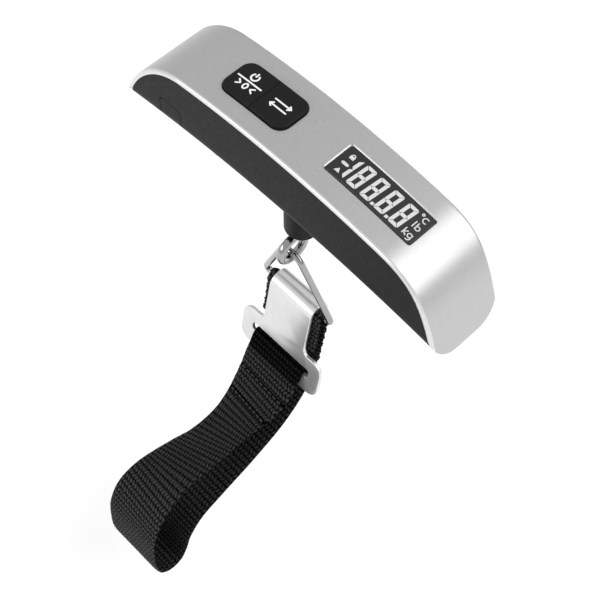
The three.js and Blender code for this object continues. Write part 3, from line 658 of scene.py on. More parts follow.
def crown_pad(name, x0, x1, half, left, right, layers, ease=(1, 1)):
    """A rounded-rectangle body whose layers (inset, height above the crown) follow the crown.

    ease is the share of each layer's inset taken at the two ends.
    """
    rows, columns = 90, 14
    shares = [0.5 - 0.5 * math.cos(math.pi * k / (rows - 1)) for k in range(rows)]
    points = []

    def spot(u, v, shrink, height):
        a, b = x0 + shrink * ease[0], x1 - shrink * ease[1]
        x = a + (b - a) * u
        reach = half - shrink
        for edge, corner in ((x - a, left - shrink), (b - x, right - shrink)):
            if 0 < corner and edge < corner:
                bow = math.sqrt(max(0.0, corner**2 - (corner - edge) ** 2))
                reach = min(reach, half - shrink - corner + bow)
        return (x, v * reach, crown_at(x) + height)

    vs = [-1 + 2 * j / (columns - 1) for j in range(columns)]
    rim = [(u, -1) for u in shares] + [(1, v) for v in vs[1:]]
    rim += [(u, 1) for u in reversed(shares[:-1])] + [(0, v) for v in reversed(vs[1:-1])]
    for shrink, height in layers:
        points += [spot(u, v, shrink, height) for u, v in rim]
    faces = grid_faces(len(layers), len(rim), close_columns=True)
    for shrink, height in (layers[0], layers[-1]):
        start = len(points)
        points += [spot(u, v, shrink, height) for u in shares for v in vs]
        faces += grid_faces(rows, columns, start)
    obj = new_object(name, points, faces)
    outward(obj, weld=True)
    return obj


def top_cover():
    section = cover_section()
    outer = [cover_row(y, depth) for y, depth in section]
    count, across = len(OUTLINE), len(section)
    inner = [cover_row(y, COVER_WALL) for y in np.linspace(-WIDTH / 2, WIDTH / 2, across)]
    points = [p for row in outer for p in row] + [p for row in inner for p in row]
    second = count * across
    faces = grid_faces(across, count) + grid_faces(across, count, second)
    edges = [(row * count + k, row * count + k + 1) for row in (0, across - 1) for k in range(count - 1)]
    edges += [(j * count + k, (j + 1) * count + k) for k in (0, count - 1) for j in range(across - 1)]
    faces += [(a, b, second + b, second + a) for a, b in edges]
    cover = new_object("cover_band", points, faces)
    outward(cover)
    soften(cover, 0.45, 4, 60)
    boolean(cover, crown_window("display_cut", DISPLAY, 0.1, 0.42))
    boolean(cover, crown_window("keypad_cut", KEYPAD, 0.12, 0.45))
    finished(cover, "housing", "silver_cover", "top_cover")
    # The rolled edges take a lighter copy of the silver, a painted highlight along the rim.
    cover.data.materials.append(RIM_HIGHLIGHT_COPY)
    start = (WIDTH / 2 - RIM_BEVEL * 0.75) * MM
    for face in cover.data.polygons:
        face.material_index = int(abs(face.center.y) > start)
    return cover


# ---------- keys and display ----------


def key_cap(name, node, x0, x1, left, right, ease):
    rise = KEYPAD["rise"]
    half = KEYPAD["width"] / 2
    layers = [(0, -2.6)]
    layers += [(i, rise - h) for i, h in ((0, 0.55), (0.05, 0.33), (0.17, 0.14), (0.34, 0.03), (0.6, 0))]
    cap = crown_pad(name, x0, x1, half, left, right, layers, ease)
    return finished(cap, node, "key_rubber", node, sharp=40)


def ribbon(points, width, height, lift, closed=False):
    """A flat printed stroke that follows the crown: (points, faces) of a thin band."""
    path = np.array(points, float)
    ahead = np.roll(path, -1, axis=0) if closed else np.vstack([path[1:], 2 * path[-1] - path[-2]])
    back = np.roll(path, 1, axis=0) if closed else np.vstack([2 * path[0] - path[1], path[:-1]])
    along = ahead - back
    along /= np.linalg.norm(along, axis=1)[:, None]
    side = np.column_stack([-along[:, 1], along[:, 0]]) * width / 2
    rings = []
    for p, s in zip(path, side):
        corners = [(p - s, lift), (p + s, lift), (p + s, lift + height), (p - s, lift + height)]
        rings.append([(q[0], q[1], crown_at(q[0]) + z) for q, z in corners])
    return lofted(rings, closed)


def patch(outline, height, lift):
    """A flat printed polygon that follows the crown."""
    return lofted([[(x, y, crown_at(x) + z) for x, y in outline] for z in (lift, lift + height)])


def printed(name, parts, body, slot, material):
    obj = new_object(name, *merged(parts))
    outward(obj)
    return finished(obj, body, slot, material=material)


def subdivided(points, step=0.6):
    """A polyline with points no further apart than a step, so that it follows the crown."""
    out = [points[0]]
    for a, b in zip(points, points[1:]):
        count = max(1, math.ceil(math.dist(a, b) / step))
        out += straight(a, b, count)[1:] + [b]
    return out


MARK_LIFT = KEYPAD["rise"] + 0.005
MARK_HIGH = 0.05


def power_marks(x):
    """Power symbol over a bar, with a zero between two arrows below it."""
    stroke = lambda points, width=0.62: ribbon(subdivided(points), width, MARK_HIGH, MARK_LIFT)
    power = ribbon(arc(x, 2.75, 1.55, 125, 415, 40), 0.68, MARK_HIGH, MARK_LIFT)
    parts = [power, stroke([(x, 4.9), (x, 2.9)], 0.68)]
    parts.append(stroke([(x - 5.9, 0), (x + 6.0, 0)], 0.65))
    zero = [(x + 0.3 + 0.85 * math.cos(t), -2.35 + 1.2 * math.sin(t)) for t in turns(32)]
    parts.append(ribbon(zero, 0.62, MARK_HIGH, MARK_LIFT, closed=True))
    for side in (-1, 1):
        base = x + 0.3 + side * 4.1
        parts.append(stroke([(base, -1.15), (base - side * 1.7, -2.35), (base, -3.55)]))
    return parts


def unit_marks(x):
    """Two opposed arrows: change the unit."""
    stroke = lambda points: ribbon(subdivided(points), 0.62, MARK_HIGH, MARK_LIFT)
    parts = []
    for side in (-1, 1):
        y = side * 1.25 - 0.1
        parts.append(stroke([(x - side * 3.9, y), (x + side * 3.7, y)]))
        parts.append(stroke([(x + side * 2.6, y + 1.05), (x + side * 4.0, y), (x + side * 2.6, y - 1.05)]))
    return parts


def keypad():
    x0 = KEYPAD["x"] - KEYPAD["length"] / 2
    x1 = KEYPAD["x"] + KEYPAD["length"] / 2
    corner = KEYPAD["corner"]
    key_cap("power_key_cap", "power_key", x0, KEYPAD["x"] - KEY_PARTING, corner, 0.1, (1, 0.15))
    key_cap("unit_key_cap", "unit_key", KEYPAD["x"] + KEY_PARTING, x1, 0.1, corner, (0.15, 1))
    quarter = KEYPAD["length"] / 4
    power = power_marks(KEYPAD["x"] - quarter)
    unit = unit_marks(KEYPAD["x"] + quarter)
    printed("power_key_marks", power, "power_key", "key_rubber", WHITE_PRINT)
    printed("unit_key_marks", unit, "unit_key", "key_rubber", WHITE_PRINT)


LENS_TOP = -0.15
SEGMENT_LIFT = LENS_TOP + 0.004
SEGMENT_HIGH = 0.03
FIGURE_X = [DISPLAY["x"] + x for x in (-8.5, -2.2, 4.3, 10.9)]
FIGURE_Y = -0.25


def slanted(points, x, y, slant=0.077):
    """Moves a glyph to its place and leans it like seven-segment figures."""
    return [(x + px + py * slant, y + py) for px, py in points]


def segment_bars(width, height, bar, gap):
    """The seven bars of a figure eight centred on the origin, mitred at the corners with hairline gaps."""
    w, h = width / 2, height / 2
    e, c = gap * 0.7, bar * 0.3
    half = [(w - e - c, h), (w - e - c / 2, h - c / 2), (w - bar - e, h - bar)]
    top = half + [(-x, y) for x, y in reversed(half)]
    middle = [(w - bar / 2 - gap, 0), (w - bar, bar / 2), (bar - w, bar / 2)]
    middle += [(-x, -y) for x, y in middle]
    side = [(w, h - e - c), (w - c / 2, h - e - c / 2), (w - bar, h - bar - e)]
    side += [(w - bar, bar / 2 + gap), (w - bar / 2, gap / 2), (w, gap / 2)]
    flip = lambda bar_points, fx, fy: [(x * fx, y * fy) for x, y in bar_points]
    left = [flip(side, -1, 1), flip(side, -1, -1)]
    return [top, flip(top, 1, -1), middle] + left + [side, flip(side, 1, -1)]


def display_figures():
    """Four figure eights, a leading one and two decimal points, every segment lit."""
    height, width, bar, gap = 10.4, 4.4, 1.32, 0.17
    parts = []
    lit = lambda outline, x, y=FIGURE_Y: parts.append(
        patch(slanted(outline, x, y), SEGMENT_HIGH, SEGMENT_LIFT))
    for x in FIGURE_X:
        for outline in segment_bars(width, height, bar, gap):
            lit(outline, x)
    for outline in segment_bars(width, height, bar, gap)[5:]:
        lit(outline, FIGURE_X[0] - 5.9)
    for x in FIGURE_X[1:3]:
        half = 0.6
        dot = [(-half, -half), (half, -half), (half, half), (-half, half)]
        lit(dot, x + 3.1, FIGURE_Y - height / 2 + half)
    return parts


def display_signs():
    """Small signs: a lock, a minus and a triangle at the left, unit names at the right."""
    parts = []
    left = DISPLAY["x"] - DISPLAY["length"] / 2 + 3.8
    lens = lambda outline: parts.append(patch(outline, SEGMENT_HIGH, SEGMENT_LIFT))
    stroke = lambda points, width=0.42: parts.append(
        ribbon(subdivided(points, 0.4), width, SEGMENT_HIGH, SEGMENT_LIFT))
    bowl = lambda x, y, r: parts.append(
        ribbon([(x + r * math.cos(t), y + r * math.sin(t)) for t in turns(20)],
               0.4, SEGMENT_HIGH, SEGMENT_LIFT, closed=True))
    lens([(left - 1.0, 2.2), (left + 1.0, 2.2), (left + 1.0, 3.6), (left - 1.0, 3.6)])
    stroke(arc(left, 3.6, 0.65, 0, 180, 12), 0.4)
    lens([(left - 1.7, -0.5), (left - 1.1, 0.1), (left + 1.1, 0.1), (left + 1.7, -0.5),
          (left + 1.1, -1.1), (left - 1.1, -1.1)])
    lens([(left - 1.2, -4.8), (left + 1.2, -4.8), (left, -2.9)])
    x = DISPLAY["x"] + DISPLAY["length"] / 2 - 3.4
    bowl(x - 1.2, 5.0, 0.4)
    stroke(arc(x + 0.9, 3.8, 1.05, 50, 310, 16))
    stroke([(x - 1.0, 1.7), (x - 1.0, -1.1)])
    stroke([(x + 0.1, 1.7), (x + 0.1, -1.1)])
    bowl(x + 0.95, -0.3, 0.8)
    stroke([(x - 1.7, -2.4), (x - 1.7, -5.2)])
    stroke([(x - 0.3, -3.1), (x - 1.5, -4.2), (x - 0.2, -5.2)])
    bowl(x + 1.0, -4.1, 0.8)
    stroke([(x + 1.85, -3.3), (x + 1.85, -5.3), (x + 1.4, -5.9), (x + 0.5, -5.9)])
    return parts


def display():
    x0 = DISPLAY["x"] - DISPLAY["length"] / 2
    x1 = DISPLAY["x"] + DISPLAY["length"] / 2
    corner = DISPLAY["corner"]
    layers = [(0, LENS_TOP - DISPLAY["thick"]), (0, LENS_TOP - 0.3), (0.3, LENS_TOP)]
    lens = crown_pad("display_window", x0, x1, DISPLAY["width"] / 2, corner, corner, layers)
    finished(lens, "housing", "display_lens", "display_lens")
    printed("display_figures", display_figures(), "housing", "display_lens", SEGMENT)
    printed("display_signs", display_signs(), "housing", "display_lens", SEGMENT)


# ---------- lower housing, door, neck and screws ----------


def tub(name):
    body = extrude_xz(name, closed_below(inset(COVER_WALL + GAP), -20), -20, 20)
    boolean(body, belly_envelope("outer", HOUSING_HALF, 0, BELLY_CORNER - RIM_STEP), "INTERSECT")
    room = extrude_xz("room", closed_below(inset(COVER_WALL + GAP + HOUSING_WALL), -20), -20, 20)
    boolean(room, box("mouth", -58, 62, -20, 20, 5, 60), "UNION")
    inner_half = HOUSING_HALF - HOUSING_WALL
    boolean(room, belly_envelope("inner", inner_half, HOUSING_WALL, BELLY_CORNER - HOUSING_WALL), "INTERSECT")
    return boolean(body, room)


def door_region(clearance):
    c = clearance
    region = box("door_region", DOOR["x0"] - c, DOOR["x1"] + c, -20, DOOR["far"] + c, -20, DOOR["top"] + c)
    left, right, top, r = DOOR["tab0"] - c, DOOR["tab1"] + c, DOOR["tab_top"] + c, DOOR["tab_r"]
    tab = [(left, 0), (right, 0)] + arc(right - r, top - r, r, 0, 90, 12)
    tab += arc(left + r, top - r, r, 90, 180, 12)
    return boolean(region, extrude_xz("tab", tab, -20, -10), "UNION")


def hinge_room(r):
    """Round room along the door's hinge line."""
    section = [(HINGE["y"] + r * math.cos(t), HINGE["z"] + r * math.sin(t)) for t in turns(48)]
    return extrude_yz("hinge_room", section, DOOR["x0"] - GAP, DOOR["x1"] + GAP)


def lower_housing():
    shell = tub("housing_tub")
    boolean(shell, door_region(GAP))
    boolean(shell, hinge_room(HINGE["notch"]))
    for x, y in SCREW_POSTS:
        socket = cylinder("socket", SCREW["post_r"], -8, 2.2, x, y)
        boolean(socket, belly_envelope("trim", HOUSING_HALF, 0, BELLY_CORNER - RIM_STEP, 60, 10), "INTERSECT")
        boolean(shell, socket, "UNION")
        boolean(shell, cylinder("recess", SCREW["head_room_r"], -20, 0.4, x, y))
        boolean(shell, cylinder("bore", SCREW["bore_r"], -20, 9, x, y, 32))
    boolean(shell, cylinder("neck_hole", NECK["r"] + GAP, -20, NECK["flange_z"], 0, 0, 96))
    well = cylinder("well", COIN["r"] + 2, COIN["z"] + 1.7, 5, COIN["x"], COIN["y"], 96)
    boolean(well, cylinder("cell_room", COIN["r"] + 0.4, -10, 8, COIN["x"], COIN["y"], 96))
    trim = HOUSING_WALL + GAP
    boolean(well, belly_envelope("trim", HOUSING_HALF - trim, trim, BELLY_CORNER - trim, 60, 10), "INTERSECT")
    boolean(well, hinge_room(HINGE["sweep"]))
    boolean(shell, well, "UNION")
    return finished(shell, "housing", "black_plastic", "lower_housing")


def battery_door():
    door = boolean(tub("battery_door_panel"), door_region(0), "INTERSECT")
    return finished(door, "battery_door", "black_plastic", "battery_door")


def neck():
    low, r = NECK["bottom"], NECK["r"]
    edge = 1.1
    profile = [(r - edge + edge * math.sin(t), low + edge * (1 - math.cos(t)))
               for t in turns(8, 0, math.pi / 2)]
    profile += [(r, low + edge), (r, NECK["flange_z"] + 0.02), (NECK["flange_r"], NECK["flange_z"] + 0.02)]
    profile.append((NECK["flange_r"], NECK["flange_top"]))
    sleeve = turned("neck_sleeve", profile)
    boolean(sleeve, cylinder("bore", NECK["bore"], low + NECK["floor"], 6, 0, 0, 72))
    end, half = 5.6, 2.7
    slot = arc(0, end - half, half, 0, 180, 16) + arc(0, half - end, half, 180, 360, 16)
    cutter = tube_object("slot", [[(x, y, z) for x, y in slot] for z in (low - 1, low + 6)])
    boolean(sleeve, cutter)
    soften(sleeve, 0.2, 3, 50)
    return finished(sleeve, "housing", "black_plastic", "neck_collar", sharp=35)


def housing_screws():
    """Pan heads with a cross recess, seen in the underside."""
    for k, (x, y) in enumerate(SCREW_POSTS, 1):
        profile = [(0.6, -1.2), (1.5, -1.12), (1.85, -0.9), (2.0, -0.5), (2.0, 0.1)]
        profile += [(1.0, 0.1), (1.0, 24), (0.6, 24.8)]
        screw = turned(f"cross_screw_{k}", profile, x, y, 40)
        for half_x, half_y in ((1.25, 0.22), (0.22, 1.25)):
            boolean(screw, box("cross", x - half_x, x + half_x, y - half_y, y + half_y, -3, -0.55))
        finished(screw, "housing", "zinc_steel", f"housing_screw_{k}", sharp=35)


# ---------- load eye, ring and hook plate ----------

APEX_DROP = EYE["drop"] + EYE["r"] - EYE["wire"] - RING["wire"] - GAP
APEX = below(0, PIN_Z, EYE["tilt"], APEX_DROP)
BAR = below(*APEX, RING["tilt"], RING["height"])


def swept_loop(name, path, radius, sides=28):
    """Round wire along a closed planar loop in the X-Z plane."""
    path = np.array(path, float)
    along = np.roll(path, -1, axis=0) - np.roll(path, 1, axis=0)
    along /= np.linalg.norm(along, axis=1)[:, None]
    rings = []
    for (x, z), (ax, az) in zip(path, along):
        rings.append([
            (x + az * math.cos(t) * radius, math.sin(t) * radius, z - ax * math.cos(t) * radius)
            for t in turns(sides)
        ])
    return tube_object(name, rings, closed=True)


def load_eye():
    """Forged eye: boss, shank and ring melted into one body with soft fillets."""
    circle = [(EYE["r"] * math.cos(t), EYE["r"] * math.sin(t)) for t in turns(72)]
    eye = swept_loop("eye_forging", circle, EYE["wire"], 24)
    eye.data.transform(Matrix.Rotation(math.pi / 2, 4, "Z"))
    eye.data.transform(Matrix.Translation((0, 0, -EYE["drop"] * MM)))
    boolean(eye, cylinder("shank", EYE["shank"], -EYE["drop"] + EYE["r"], 0), "UNION")
    boss = extrude_yz("boss", arc(0, 0, EYE["boss"], 0, 354, 59), -EYE["half"], EYE["half"], 4)
    boolean(eye, boss, "UNION")
    remesh = eye.modifiers.new("melt", "REMESH")
    remesh.mode = "VOXEL"
    remesh.voxel_size = 0.16 * MM
    relax = eye.modifiers.new("relax", "SMOOTH")
    relax.factor = 0.5
    relax.iterations = 12
    apply_modifiers(eye)
    boolean(eye, extrude_yz("bore", arc(0, 0, 1.5 + GAP / 2, 0, 350, 35), -6, 6))
    hang(eye, 0, PIN_Z, EYE["tilt"])
    return finished(eye, "load_eye", "chrome_wire", "load_eye", sharp=45)


def quadratic(a, b, c, steps):
    return [tuple((1 - t) ** 2 * a[i] + 2 * t * (1 - t) * b[i] + t * t * c[i] for i in (0, 1))
            for t in (k / steps for k in range(steps))]


def triangle_ring():
    lean = math.atan2(RING["half"] - RING["leg_inset"], RING["height"] - 3)
    tan = math.tan(lean)
    leg_top = (math.cos(lean) * RING["apex_r"], -RING["apex_r"] + math.sin(lean) * RING["apex_r"])
    corner = (leg_top[0] + (RING["height"] + leg_top[1]) * tan, -RING["height"])
    reach = RING["corner_r"] / math.tan((math.pi / 2 + lean) / 2 - lean)
    leg_end = (corner[0] - math.sin(lean) * reach, corner[1] + math.cos(lean) * reach)
    bar_end = (corner[0] - reach, corner[1])
    apex_side = (leg_top[0] + leg_top[1] * tan, 0)
    mirror = lambda p: (-p[0], p[1])
    leg = quadratic((0, 0), apex_side, leg_top, 14) + straight(leg_top, leg_end, 24)
    leg += quadratic(leg_end, corner, bar_end, 14)
    path = leg + straight(bar_end, mirror(bar_end), 24) + [mirror(bar_end)]
    path += [mirror(p) for p in reversed(leg[1:])]
    ring = swept_loop("wire_ring", path, RING["wire"])
    hang(ring, *APEX, RING["tilt"])
    return finished(ring, "triangle_ring", "chrome_wire", "triangle_ring", sharp=60)


HOOK_INNER = RING["wire"] + GAP + WEBBING["thick"] + GAP
HOOK_OUTER = HOOK_INNER + PLATE["thick"]


def hook_plate():
    neck_half, ears, ear_r = PLATE["neck"], PLATE["ears"], PLATE["ear_r"]
    shoulder, foot = PLATE["shoulder"], PLATE["foot"]
    side = [(-HOOK_OUTER, -6)] + arc(0, 0, HOOK_OUTER, 180, 0, 48)
    side += [(HOOK_OUTER, -PLATE["lip"]), (HOOK_INNER, -PLATE["lip"])] + arc(0, 0, HOOK_INNER, 0, 180, 48)
    side.append((-HOOK_INNER, -6))
    plate = extrude_yz("plate_pressing", side, -neck_half, neck_half)
    ledge = -shoulder - 2.6
    right = [(neck_half, -4), (neck_half, -shoulder + 0.6)]
    fillet_end = (neck_half + PLATE["fillet"], ledge)
    right += quadratic((neck_half, -shoulder + 0.6), (neck_half, ledge), fillet_end, 14)
    right += arc(ears - ear_r, ledge - ear_r, ear_r, 90, 0, 20)
    right += arc(ears - ear_r, -foot + ear_r, ear_r, 0, -90, 20)
    outline = right + [(-x, z) for x, z in reversed(right)]
    face = extrude_xz("face", outline, -HOOK_OUTER, -HOOK_INNER)
    boolean(plate, face, "UNION")
    half, top, high = PLATE_SLOT["half"], PLATE_SLOT["top"], PLATE_SLOT["high"]
    r = 1.6
    slot = arc(half - r, -top - r, r, 0, 90, 8) + arc(-half + r, -top - r, r, 90, 180, 8)
    slot += arc(-half + r, -top - high + r, r, 180, 270, 8) + arc(half - r, -top - high + r, r, 270, 360, 8)
    boolean(plate, extrude_xz("slot", slot, -8, 0))
    soften(plate, 0.28, 3, 50)
    hang(plate, *BAR, PLATE["tilt"])
    return finished(plate, "hook_and_strap", "plated_steel", "hook_plate", sharp=35)


# ---------- webbing ----------

# Route of the strap's middle line from the back run to the hook plate's slot: y, z, and the tilt of
# its width in degrees (positive lifts the +X edge).
STRAP_ROUTE = [
    (-1.7, -89.8, 0), (-3.5, -99, 0), (-6.1, -113, 0), (-12.5, -127.5, 0), (-25, -141.5, 2),
    (-44, -152.5, 4), (-62, -159.5, 4), (-75.5, -165, 2), (-83, -173.5, 0), (-86.5, -183, 0),
    (-90.5, -189.8, 0), (-96, -191.2, 0), (-101, -187.5, 2), (-103.5, -178, 4), (-103.4, -165, 6),
    (-101.5, -151, 8), (-96.5, -140.5, 10), (-88.5, -134, 16), (-79, -131.5, 22), (-66, -134, 27),
    (-54, -137.2, 31), (-42, -136.8, 30), (-31, -132.3, 20), (-22.8, -125, 8), (-18.8, -118.6, 2),
    (-15.7, -113.1, 0), (-14.1, -109.9, 0), (-12.3, -108.6, 0), (-10.4, -109.6, 0), (-10.3, -112.5, 0),
]
# The sewn turn round the ring's bar, as (distance below the bar, distance behind it): the tail in
# front comes up, goes over the bar and joins the back run.
BAR_TURN = [(22, -2.2), (17, -2.0), (11, -2.1), (6.5, -2.3), (3, -2.5)]
BAR_TURN += [(-2.5 * math.sin(t), -2.5 * math.cos(t)) for t in turns(6, 0, math.pi) + [math.pi]]
BAR_TURN += [(4, 2.5), (9, 2.5)]

STITCH_ROWS = [(-22.3, -127.0), (-31.8, -135.6)]
DOUBLED = 0.75
RIB_PITCH = 2.6
BUMP_PITCH = 1.75
# Length along the strap, from its tail, that is crumpled and ragged: the turn and the run behind the plate.
RAGGED = 62


def strap_route():
    tilt = math.radians(PLATE["tilt"])
    down = (math.sin(tilt), -math.cos(tilt))
    behind = (math.cos(tilt), math.sin(tilt))
    turn = [
        (0.0, BAR[0] + down[0] * d + behind[0] * n, BAR[1] + down[1] * d + behind[1] * n)
        for d, n in BAR_TURN
    ]
    return np.array(turn + [(t, y, z) for y, z, t in STRAP_ROUTE], float)


def centripetal(points, per_segment=40):
    """Centripetal Catmull-Rom curve through the points."""
    padded = np.vstack([2 * points[0] - points[1], points, 2 * points[-1] - points[-2]])
    curve = []
    for k in range(1, len(padded) - 2):
        p0, p1, p2, p3 = padded[k - 1 : k + 3]
        d0, d1, d2 = (np.linalg.norm(b - a) ** 0.5 for a, b in ((p0, p1), (p1, p2), (p2, p3)))
        m1 = ((p1 - p0) / d0 - (p2 - p0) / (d0 + d1) + (p2 - p1) / d1) * d1
        m2 = ((p2 - p1) / d1 - (p3 - p1) / (d1 + d2) + (p3 - p2) / d2) * d1
        for t in np.arange(per_segment) / per_segment:
            curve.append(
                (2 * t**3 - 3 * t**2 + 1) * p1 + (t**3 - 2 * t**2 + t) * m1
                + (3 * t**2 - 2 * t**3) * p2 + (t**3 - t**2) * m2
            )
    curve.append(padded[-2])
    return np.array(curve)


def resample(curve, step):
    """(points, distances along) at an even spacing, measured in the Y-Z plane."""
    along = np.concatenate([[0], np.cumsum(np.linalg.norm(np.diff(curve[:, 1:], axis=0), axis=1))])
    at = np.linspace(0, along[-1], int(round(along[-1] / step)) + 1)
    return np.column_stack([np.interp(at, along, curve[:, i]) for i in range(3)]), at


def strap_frames(points):
    """Unit vectors along, across and normal to the strap at each point of its middle line."""
    along = np.gradient(points[:, 1:], axis=0)
    along = np.column_stack([np.zeros(len(points)), along])
    along /= np.linalg.norm(along, axis=1)[:, None]
    tilt = np.radians(points[:, 0])
    across = np.column_stack([np.cos(tilt), np.zeros(len(points)), np.sin(tilt)])
    across -= along * (across * along).sum(1)[:, None]
    across /= np.linalg.norm(across, axis=1)[:, None]
    return along, across, np.cross(along, across)


def weave(s, u, seed):
    """Relief of the woven face, 0 to 1: ribs across the strap, each a row of swaying bumps."""
    wander = 0.1 * np.sin(0.9 * s + seed) + 0.12 * np.sin(1.7 * u + 0.23 * s + seed * 3)
    turn = math.pi * s / RIB_PITCH
    rib = np.abs(np.sin(turn + wander))
    sway = 0.62 * np.sin(turn + math.pi / 4)
    bump = np.abs(np.cos(math.pi * (u + sway) / BUMP_PITCH + wander))
    return rib**0.6 * bump**0.7


def strap():
    """The woven loop: two faces in relief, doubled where it is sewn, running from its turn round the ring's
    bar to the plate's slot.
    """
    points, s = resample(centripetal(strap_route()), 0.52)
    middle = points * (0, 1, 1)
    along, across, normal = strap_frames(points)
    half, thick = WEBBING["width"] / 2, WEBBING["thick"] / 2
    relief = 0.6
    columns = 71
    u = half * np.sin(np.linspace(-1, 1, columns) * math.pi / 2 * 0.94) / math.sin(math.pi / 2 * 0.94)
    u = 0.35 * u + 0.65 * np.linspace(-half, half, columns)
    edge = np.sqrt(np.clip(1 - (np.abs(u) / half) ** 14, 0, 1))
    frayed = 1 + (s < RAGGED) * (0.045 + 0.016 * np.sin(1.3 * s) + 0.014 * np.sin(3.1 * s + 1))
    front = np.array([np.argmin(np.hypot(points[:, 1] - y, points[:, 2] - z) + 1e3 * (s < s[-1] / 2))
                      for y, z in STITCH_ROWS])
    double = 0.5 + 0.5 * np.tanh((s - s[front[1]] + 1.2) / 0.5)
    end_fade = 0.5 - 0.5 * np.tanh((s - s[-1] + 12) / 2.0)
    pressed = (1 - 0.6 * (0.5 + 0.5 * np.tanh((s - s[-1] + 14.5) / 1.2)))[:, None]
    dent = sum(np.exp(-(((s - s[k]) / 0.95) ** 2)) for k in front)[:, None]
    rows, heights = {}, {}
    for face in (1, -1):
        height = weave(s[:, None], u[None, :] + 0.4 * face, 1.0 + face) * pressed * (1 - 0.9 * dent)
        lift = (thick - relief) * edge + relief * edge * height - 0.55 * dent * (face < 0) * edge
        lift = lift + (DOUBLED * double * end_fade)[:, None] * (face < 0) * edge
        lift = np.maximum(lift, 0.05)
        rows[face] = points_at(middle, across, normal, frayed[:, None] * u[None, :], face * lift)
        heights[face] = height
    bottom = rows[-1][:, ::-1]
    loops = np.concatenate([rows[1], bottom], axis=1)
    obj = tube_object("webbing_strap", loops.tolist())
    place = np.zeros(loops.shape, np.float32)
    place[:, :, 0] = np.concatenate([u, u[::-1] + 200])[None, :]
    place[:, :, 1] = s[:, None]
    # The third value is the relief height, which the webbing material turns into painted shade in the hollows
    # and painted highlight on the crests.
    place[:, :, 2] = np.concatenate([heights[1], heights[-1][:, ::-1]], axis=1)
    attribute = obj.data.attributes.new("weave", "FLOAT_VECTOR", "POINT")
    attribute.data.foreach_set("vector", place.ravel())
    obj.data.shade_smooth()
    obj.data.materials.append(MATERIALS["black_webbing"])
    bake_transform(obj)
    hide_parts("strap", "strap_ring_loop")
    stitches(middle, along, across, normal, front)
    return obj


def points_at(middle, across, normal, u, lift):
    """Points of one face of the strap; lift has one row per place along it."""
    return middle[:, None, :] + across[:, None, :] * u[:, :, None] + normal[:, None, :] * lift[:, :, None]


def stitches(middle, along, across, normal, rows):
    """Two rows of stout thread across the strap, each stitch a flattened tube sunk into the weave."""
    pitch, length, radius = 3.0, 2.3, 0.28
    parts = []
    sides, steps = 10, 10
    for row, k in enumerate(rows):
        surface = -(WEBBING["thick"] / 2 + DOUBLED * (0.5 if row else 1.0) - 0.42)
        for j in range(9):
            start = -13 + pitch * j
            rings = []
            for a in range(steps + 1):
                t = a / steps
                swell = radius * math.sqrt(max(0.02, 1 - (2 * t - 1) ** 4))
                centre = middle[k] + across[k] * (start + length * t)
                centre = centre + normal[k] * (surface - 0.12 * math.sin(math.pi * t))
                flat, high = along[k] * swell * 1.3, normal[k] * swell
                rings.append([centre + flat * math.cos(t) + high * math.sin(t) for t in turns(sides)])
            parts.append(lofted(rings))
    obj = new_object("strap_stitches", *merged(parts))
    outward(obj)
    return finished(obj, "hook_and_strap", "black_webbing", material=THREAD, sharp=180)


# ---------- stage, in metres ----------

SWING_ROOM = 0.044
SKY = 0.78
WALL = {"radius": 1.5, "height": 0.62, "from": 35, "sweep": 110, "steps": 42}

CAMERA = {"place": (197.397, -193.650, 382.073), "forward": (-0.36650, 0.35777, -0.85888),
          "right": (0.69480, 0.71919, 0.00310), "lens": 78.0}


def make_camera():
    data = bpy.data.cameras.new("camera")
    data.lens = CAMERA["lens"]
    data.sensor_width = 36
    data.clip_start = 0.01
    data.clip_end = 20
    obj = bpy.data.objects.new("camera", data)
    right = Vector(CAMERA["right"]).normalized()
    back = -Vector(CAMERA["forward"]).normalized()
    up = back.cross(right).normalized()
    turn = Matrix((right, up, back)).transposed().to_4x4()
    obj.matrix_world = Matrix.Translation(Vector(CAMERA["place"]) * MM) @ turn
    SCENE.collection.objects.link(obj)
    SCENE.camera = obj


def area_light(name, place, target, power, size, size_y):
    data = bpy.data.lights.new(name, "AREA")
    data.energy = power
    data.shape = "RECTANGLE"
    data.size = size
    data.size_y = size_y
    obj = bpy.data.objects.new(name, data)
    obj.location = place
    obj.rotation_mode = "QUATERNION"
    obj.rotation_quaternion = (Vector(target) - Vector(place)).to_track_quat("-Z", "Y")
    SCENE.collection.objects.link(obj)


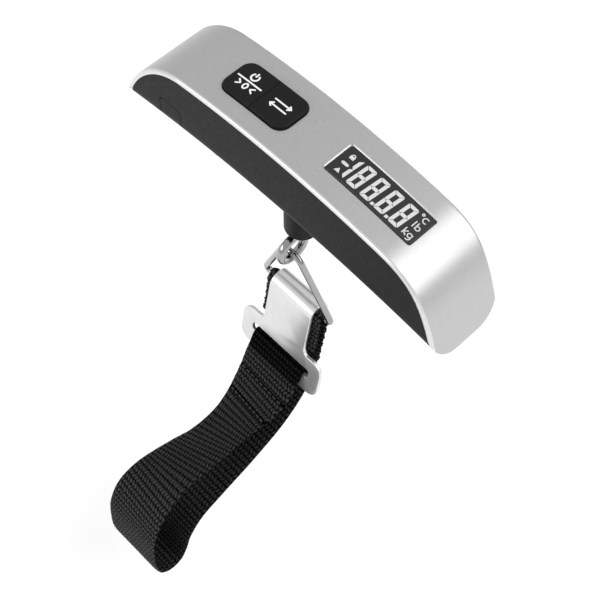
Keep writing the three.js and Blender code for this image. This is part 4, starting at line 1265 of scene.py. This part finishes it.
def stage_piece(name, points, faces, material):
    mesh = bpy.data.meshes.new(name)
    mesh.from_pydata(points, [], faces)
    mesh.materials.append(material)
    obj = bpy.data.objects.new(name, mesh)
    SCENE.collection.objects.link(obj)
    return obj


def make_stage():
    """Pale floor low enough for the loop to hang straight down over it, an even sky and two soft lights."""
    low = cad_box[0].z - SWING_ROOM
    reach = 3.0
    corners = [(-reach, -reach, low), (reach, -reach, low), (reach, reach, low), (-reach, reach, low)]
    f = Finish("pale_floor", (0.93, 0.93, 0.93), 0.8, Emission_Color=(1, 1, 1, 1), Emission_Strength=0.06)
    f.vary_color(f.noise(0.02), 0.995, 1.005)
    stage_piece("floor", corners, [(0, 1, 2, 3)], f.material)
    SCENE.view_settings.view_transform = "Standard"
    world = bpy.data.worlds.new("studio")
    world.use_nodes = True
    world.node_tree.nodes["Background"].inputs["Color"].default_value = (1, 1, 1, 1)
    world.node_tree.nodes["Background"].inputs["Strength"].default_value = SKY
    SCENE.world = world
    area_light("display_end_softbox", (0.75, 0.46, 0.82), (0.05, 0, 0), 9.8, 0.95, 1.35)
    area_light("near_side_strip", (-0.45, -1.05, 0.42), (0, 0, 0), 5, 0.9, 0.35)
    dark_wall()


def dark_wall():
    """Low dark wall round the far side, out of the camera's sight, for polished metal to mirror."""
    low, count = cad_box[0].z, WALL["steps"]
    angles = [math.radians(WALL["from"] + WALL["sweep"] * k / count) for k in range(count + 1)]
    points = [(WALL["radius"] * math.cos(a), WALL["radius"] * math.sin(a), z)
              for z in (low, low + WALL["height"]) for a in angles]
    f = Finish("dark_wall", (0.02, 0.02, 0.02), 0.9)
    f.vary_color(f.noise(0.02), 0.9, 1.1)
    wall = stage_piece("dark_wall", points, grid_faces(2, len(angles)), f.material)
    wall.visible_camera = False
    wall.visible_shadow = False


# ---------- assembly ----------

make_camera()
make_stage()
finish_cad_nodes()
strap()
top_cover()
lower_housing()
battery_door()
neck()
housing_screws()
keypad()
display()
load_eye()
triangle_ring()
hook_plate()
